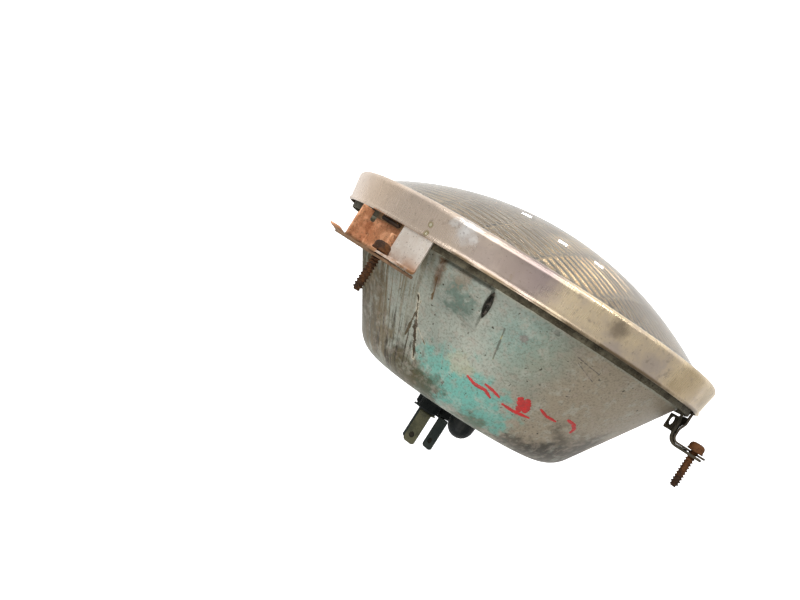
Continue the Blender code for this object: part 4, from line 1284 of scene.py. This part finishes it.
def coil(first, last):
    """A coiled wire between two points."""
    axis = (last - first).normalized()
    side = axis.cross(Vector((0.0, 1.0, 0.0))).normalized()
    up = side.cross(axis)
    length = (last - first).length
    points = []
    count = COIL_TURNS * TURN_STEPS
    for step in range(count + 1):
        turn = 2.0 * math.pi * COIL_TURNS * step / count
        centre = first + axis * length * step / count
        outward = side * math.cos(turn) + up * math.sin(turn)
        for corner in range(COIL_SIDES):
            twist = 2.0 * math.pi * corner / COIL_SIDES
            away = outward * (COIL_RADIUS + WIRE_RADIUS * math.cos(twist))
            points.append(tuple(centre + (away + axis * WIRE_RADIUS * math.sin(twist))))
    faces = grid_faces(count + 1, COIL_SIDES, False)
    last_ring = count * COIL_SIDES
    faces += [tuple(range(COIL_SIDES)), tuple(last_ring + i for i in range(COIL_SIDES))[::-1]]
    return points, faces


for name in ("filament_low", "filament_high"):
    cloud_points = np.array([tuple(v.co) for v in nodes[name].data.vertices])
    middle = cloud_points.mean(0)
    main = np.linalg.svd(cloud_points - middle, full_matrices=False)[2][0]
    reach = float(np.abs((cloud_points - middle) @ main).max()) - COIL_INSET
    ends = Vector(middle - main * reach), Vector(middle + main * reach)
    coil_points, coil_faces = coil(*ends)
    make_piece(f"{name}_coil", coil_points, coil_faces, [tungsten], "lamp", [name], 60.0)

# %% [markdown]
# ## Paint marks
# Someone has dabbed red paint on the bowl. These are loose dabs and one rubbed patch that spell
# nothing. Each is a thin raised ribbon that follows the cone, with a width that wavers like a
# brush.

# %% Paint strokes
# A stroke has a half width, and then its places: degrees round the bowl and distance along it.
STROKES = [
    (0.00085, [(-2.0, 0.0200), (2.0, 0.0214), (6.5, 0.0211), (10.0, 0.0228)]),
    (0.00070, [(5.0, 0.0190), (9.0, 0.0196), (12.5, 0.0206)]),
    (0.00190, [(18.0, 0.0160), (20.5, 0.0182), (21.5, 0.0216)]),
    (0.00165, [(20.6, 0.0150), (23.0, 0.0184), (23.6, 0.0206)]),
    (0.00080, [(14.5, 0.0222), (20.0, 0.0224), (27.0, 0.0214)]),
    (0.00075, [(27.0, 0.0158), (31.0, 0.0171), (36.0, 0.0170)]),
    (0.00095, [(38.5, 0.0138), (42.5, 0.0142), (45.5, 0.0160), (46.0, 0.0182)])]
STROKE_LIFT = 0.00013
STROKE_GAP = 0.00012
STROKE_WAVER = (0.72, 1.15)
STROKE_STEPS = 14                 # cross-sections for each place of a stroke
# The ribbon's section: how far across, and how far out.
RIBBON = ((-1.0, -0.5), (-0.7, 0.8), (0.0, 1.0), (0.7, 0.8), (1.0, -0.5))
RIBBON_CORNERS = len(RIBBON) + 1

red = Finish("red_paint", 0.0, 0.45)
dab = red.noise(420.0, 5.0, 0.6)
red.colour = red.blend(red.ramp(dab, 0.40, 0.65), (0.52, 0.022, 0.020), (0.36, 0.030, 0.026))
red.show(red.plus(red.times(dab, 0.3), 0.25), red.bump(dab, 0.00006, 0.6))

source = np.random.default_rng(12)
for number, (stroke_half, stroke) in enumerate(STROKES, 1):
    knots = np.array(stroke)
    count = STROKE_STEPS * len(knots)
    where = np.linspace(0.0, len(knots) - 1.0, count)
    line = np.stack([np.interp(where, range(len(knots)), column) for column in knots.T], 1)
    line[1:-1] = (line[:-2] + line[1:-1] * 2.0 + line[2:]) / 4.0
    centres = [Vector(on_bowl(a, y)) for a, y in line]
    stroke_points = []
    for index, centre in enumerate(centres):
        along = (centres[min(index + 1, count - 1)] - centres[max(index - 1, 0)]).normalized()
        outward = Vector((centre.x, CONE_SLOPE * math.hypot(centre.x, centre.z), centre.z)).normalized()
        across = along.cross(outward).normalized()
        fullness = math.sin(math.pi * (index + 1.5) / (count + 2.0)) ** 0.35
        wide = stroke_half * fullness * source.uniform(*STROKE_WAVER)
        for share, lift in RIBBON:
            out = outward * (STROKE_LIFT * lift + STROKE_GAP)
            stroke_points.append(tuple(centre + across * wide * share + out))
        stroke_points.append(tuple(centre - outward * STROKE_LIFT * 3.0))
    last_ring = RIBBON_CORNERS * (count - 1)
    stroke_faces = grid_faces(count, RIBBON_CORNERS, False)
    stroke_faces += [tuple(range(RIBBON_CORNERS)), tuple(last_ring + i for i in range(RIBBON_CORNERS))[::-1]]
    make_piece(f"paint_stroke_{number}", stroke_points, stroke_faces, [red.material], "lamp")

# %% [markdown]
# ## Finish
# The frame's box is printed, so that the dressed lamp can be compared with its frame.

# %% Frame size
print("frame box:", cad_box)
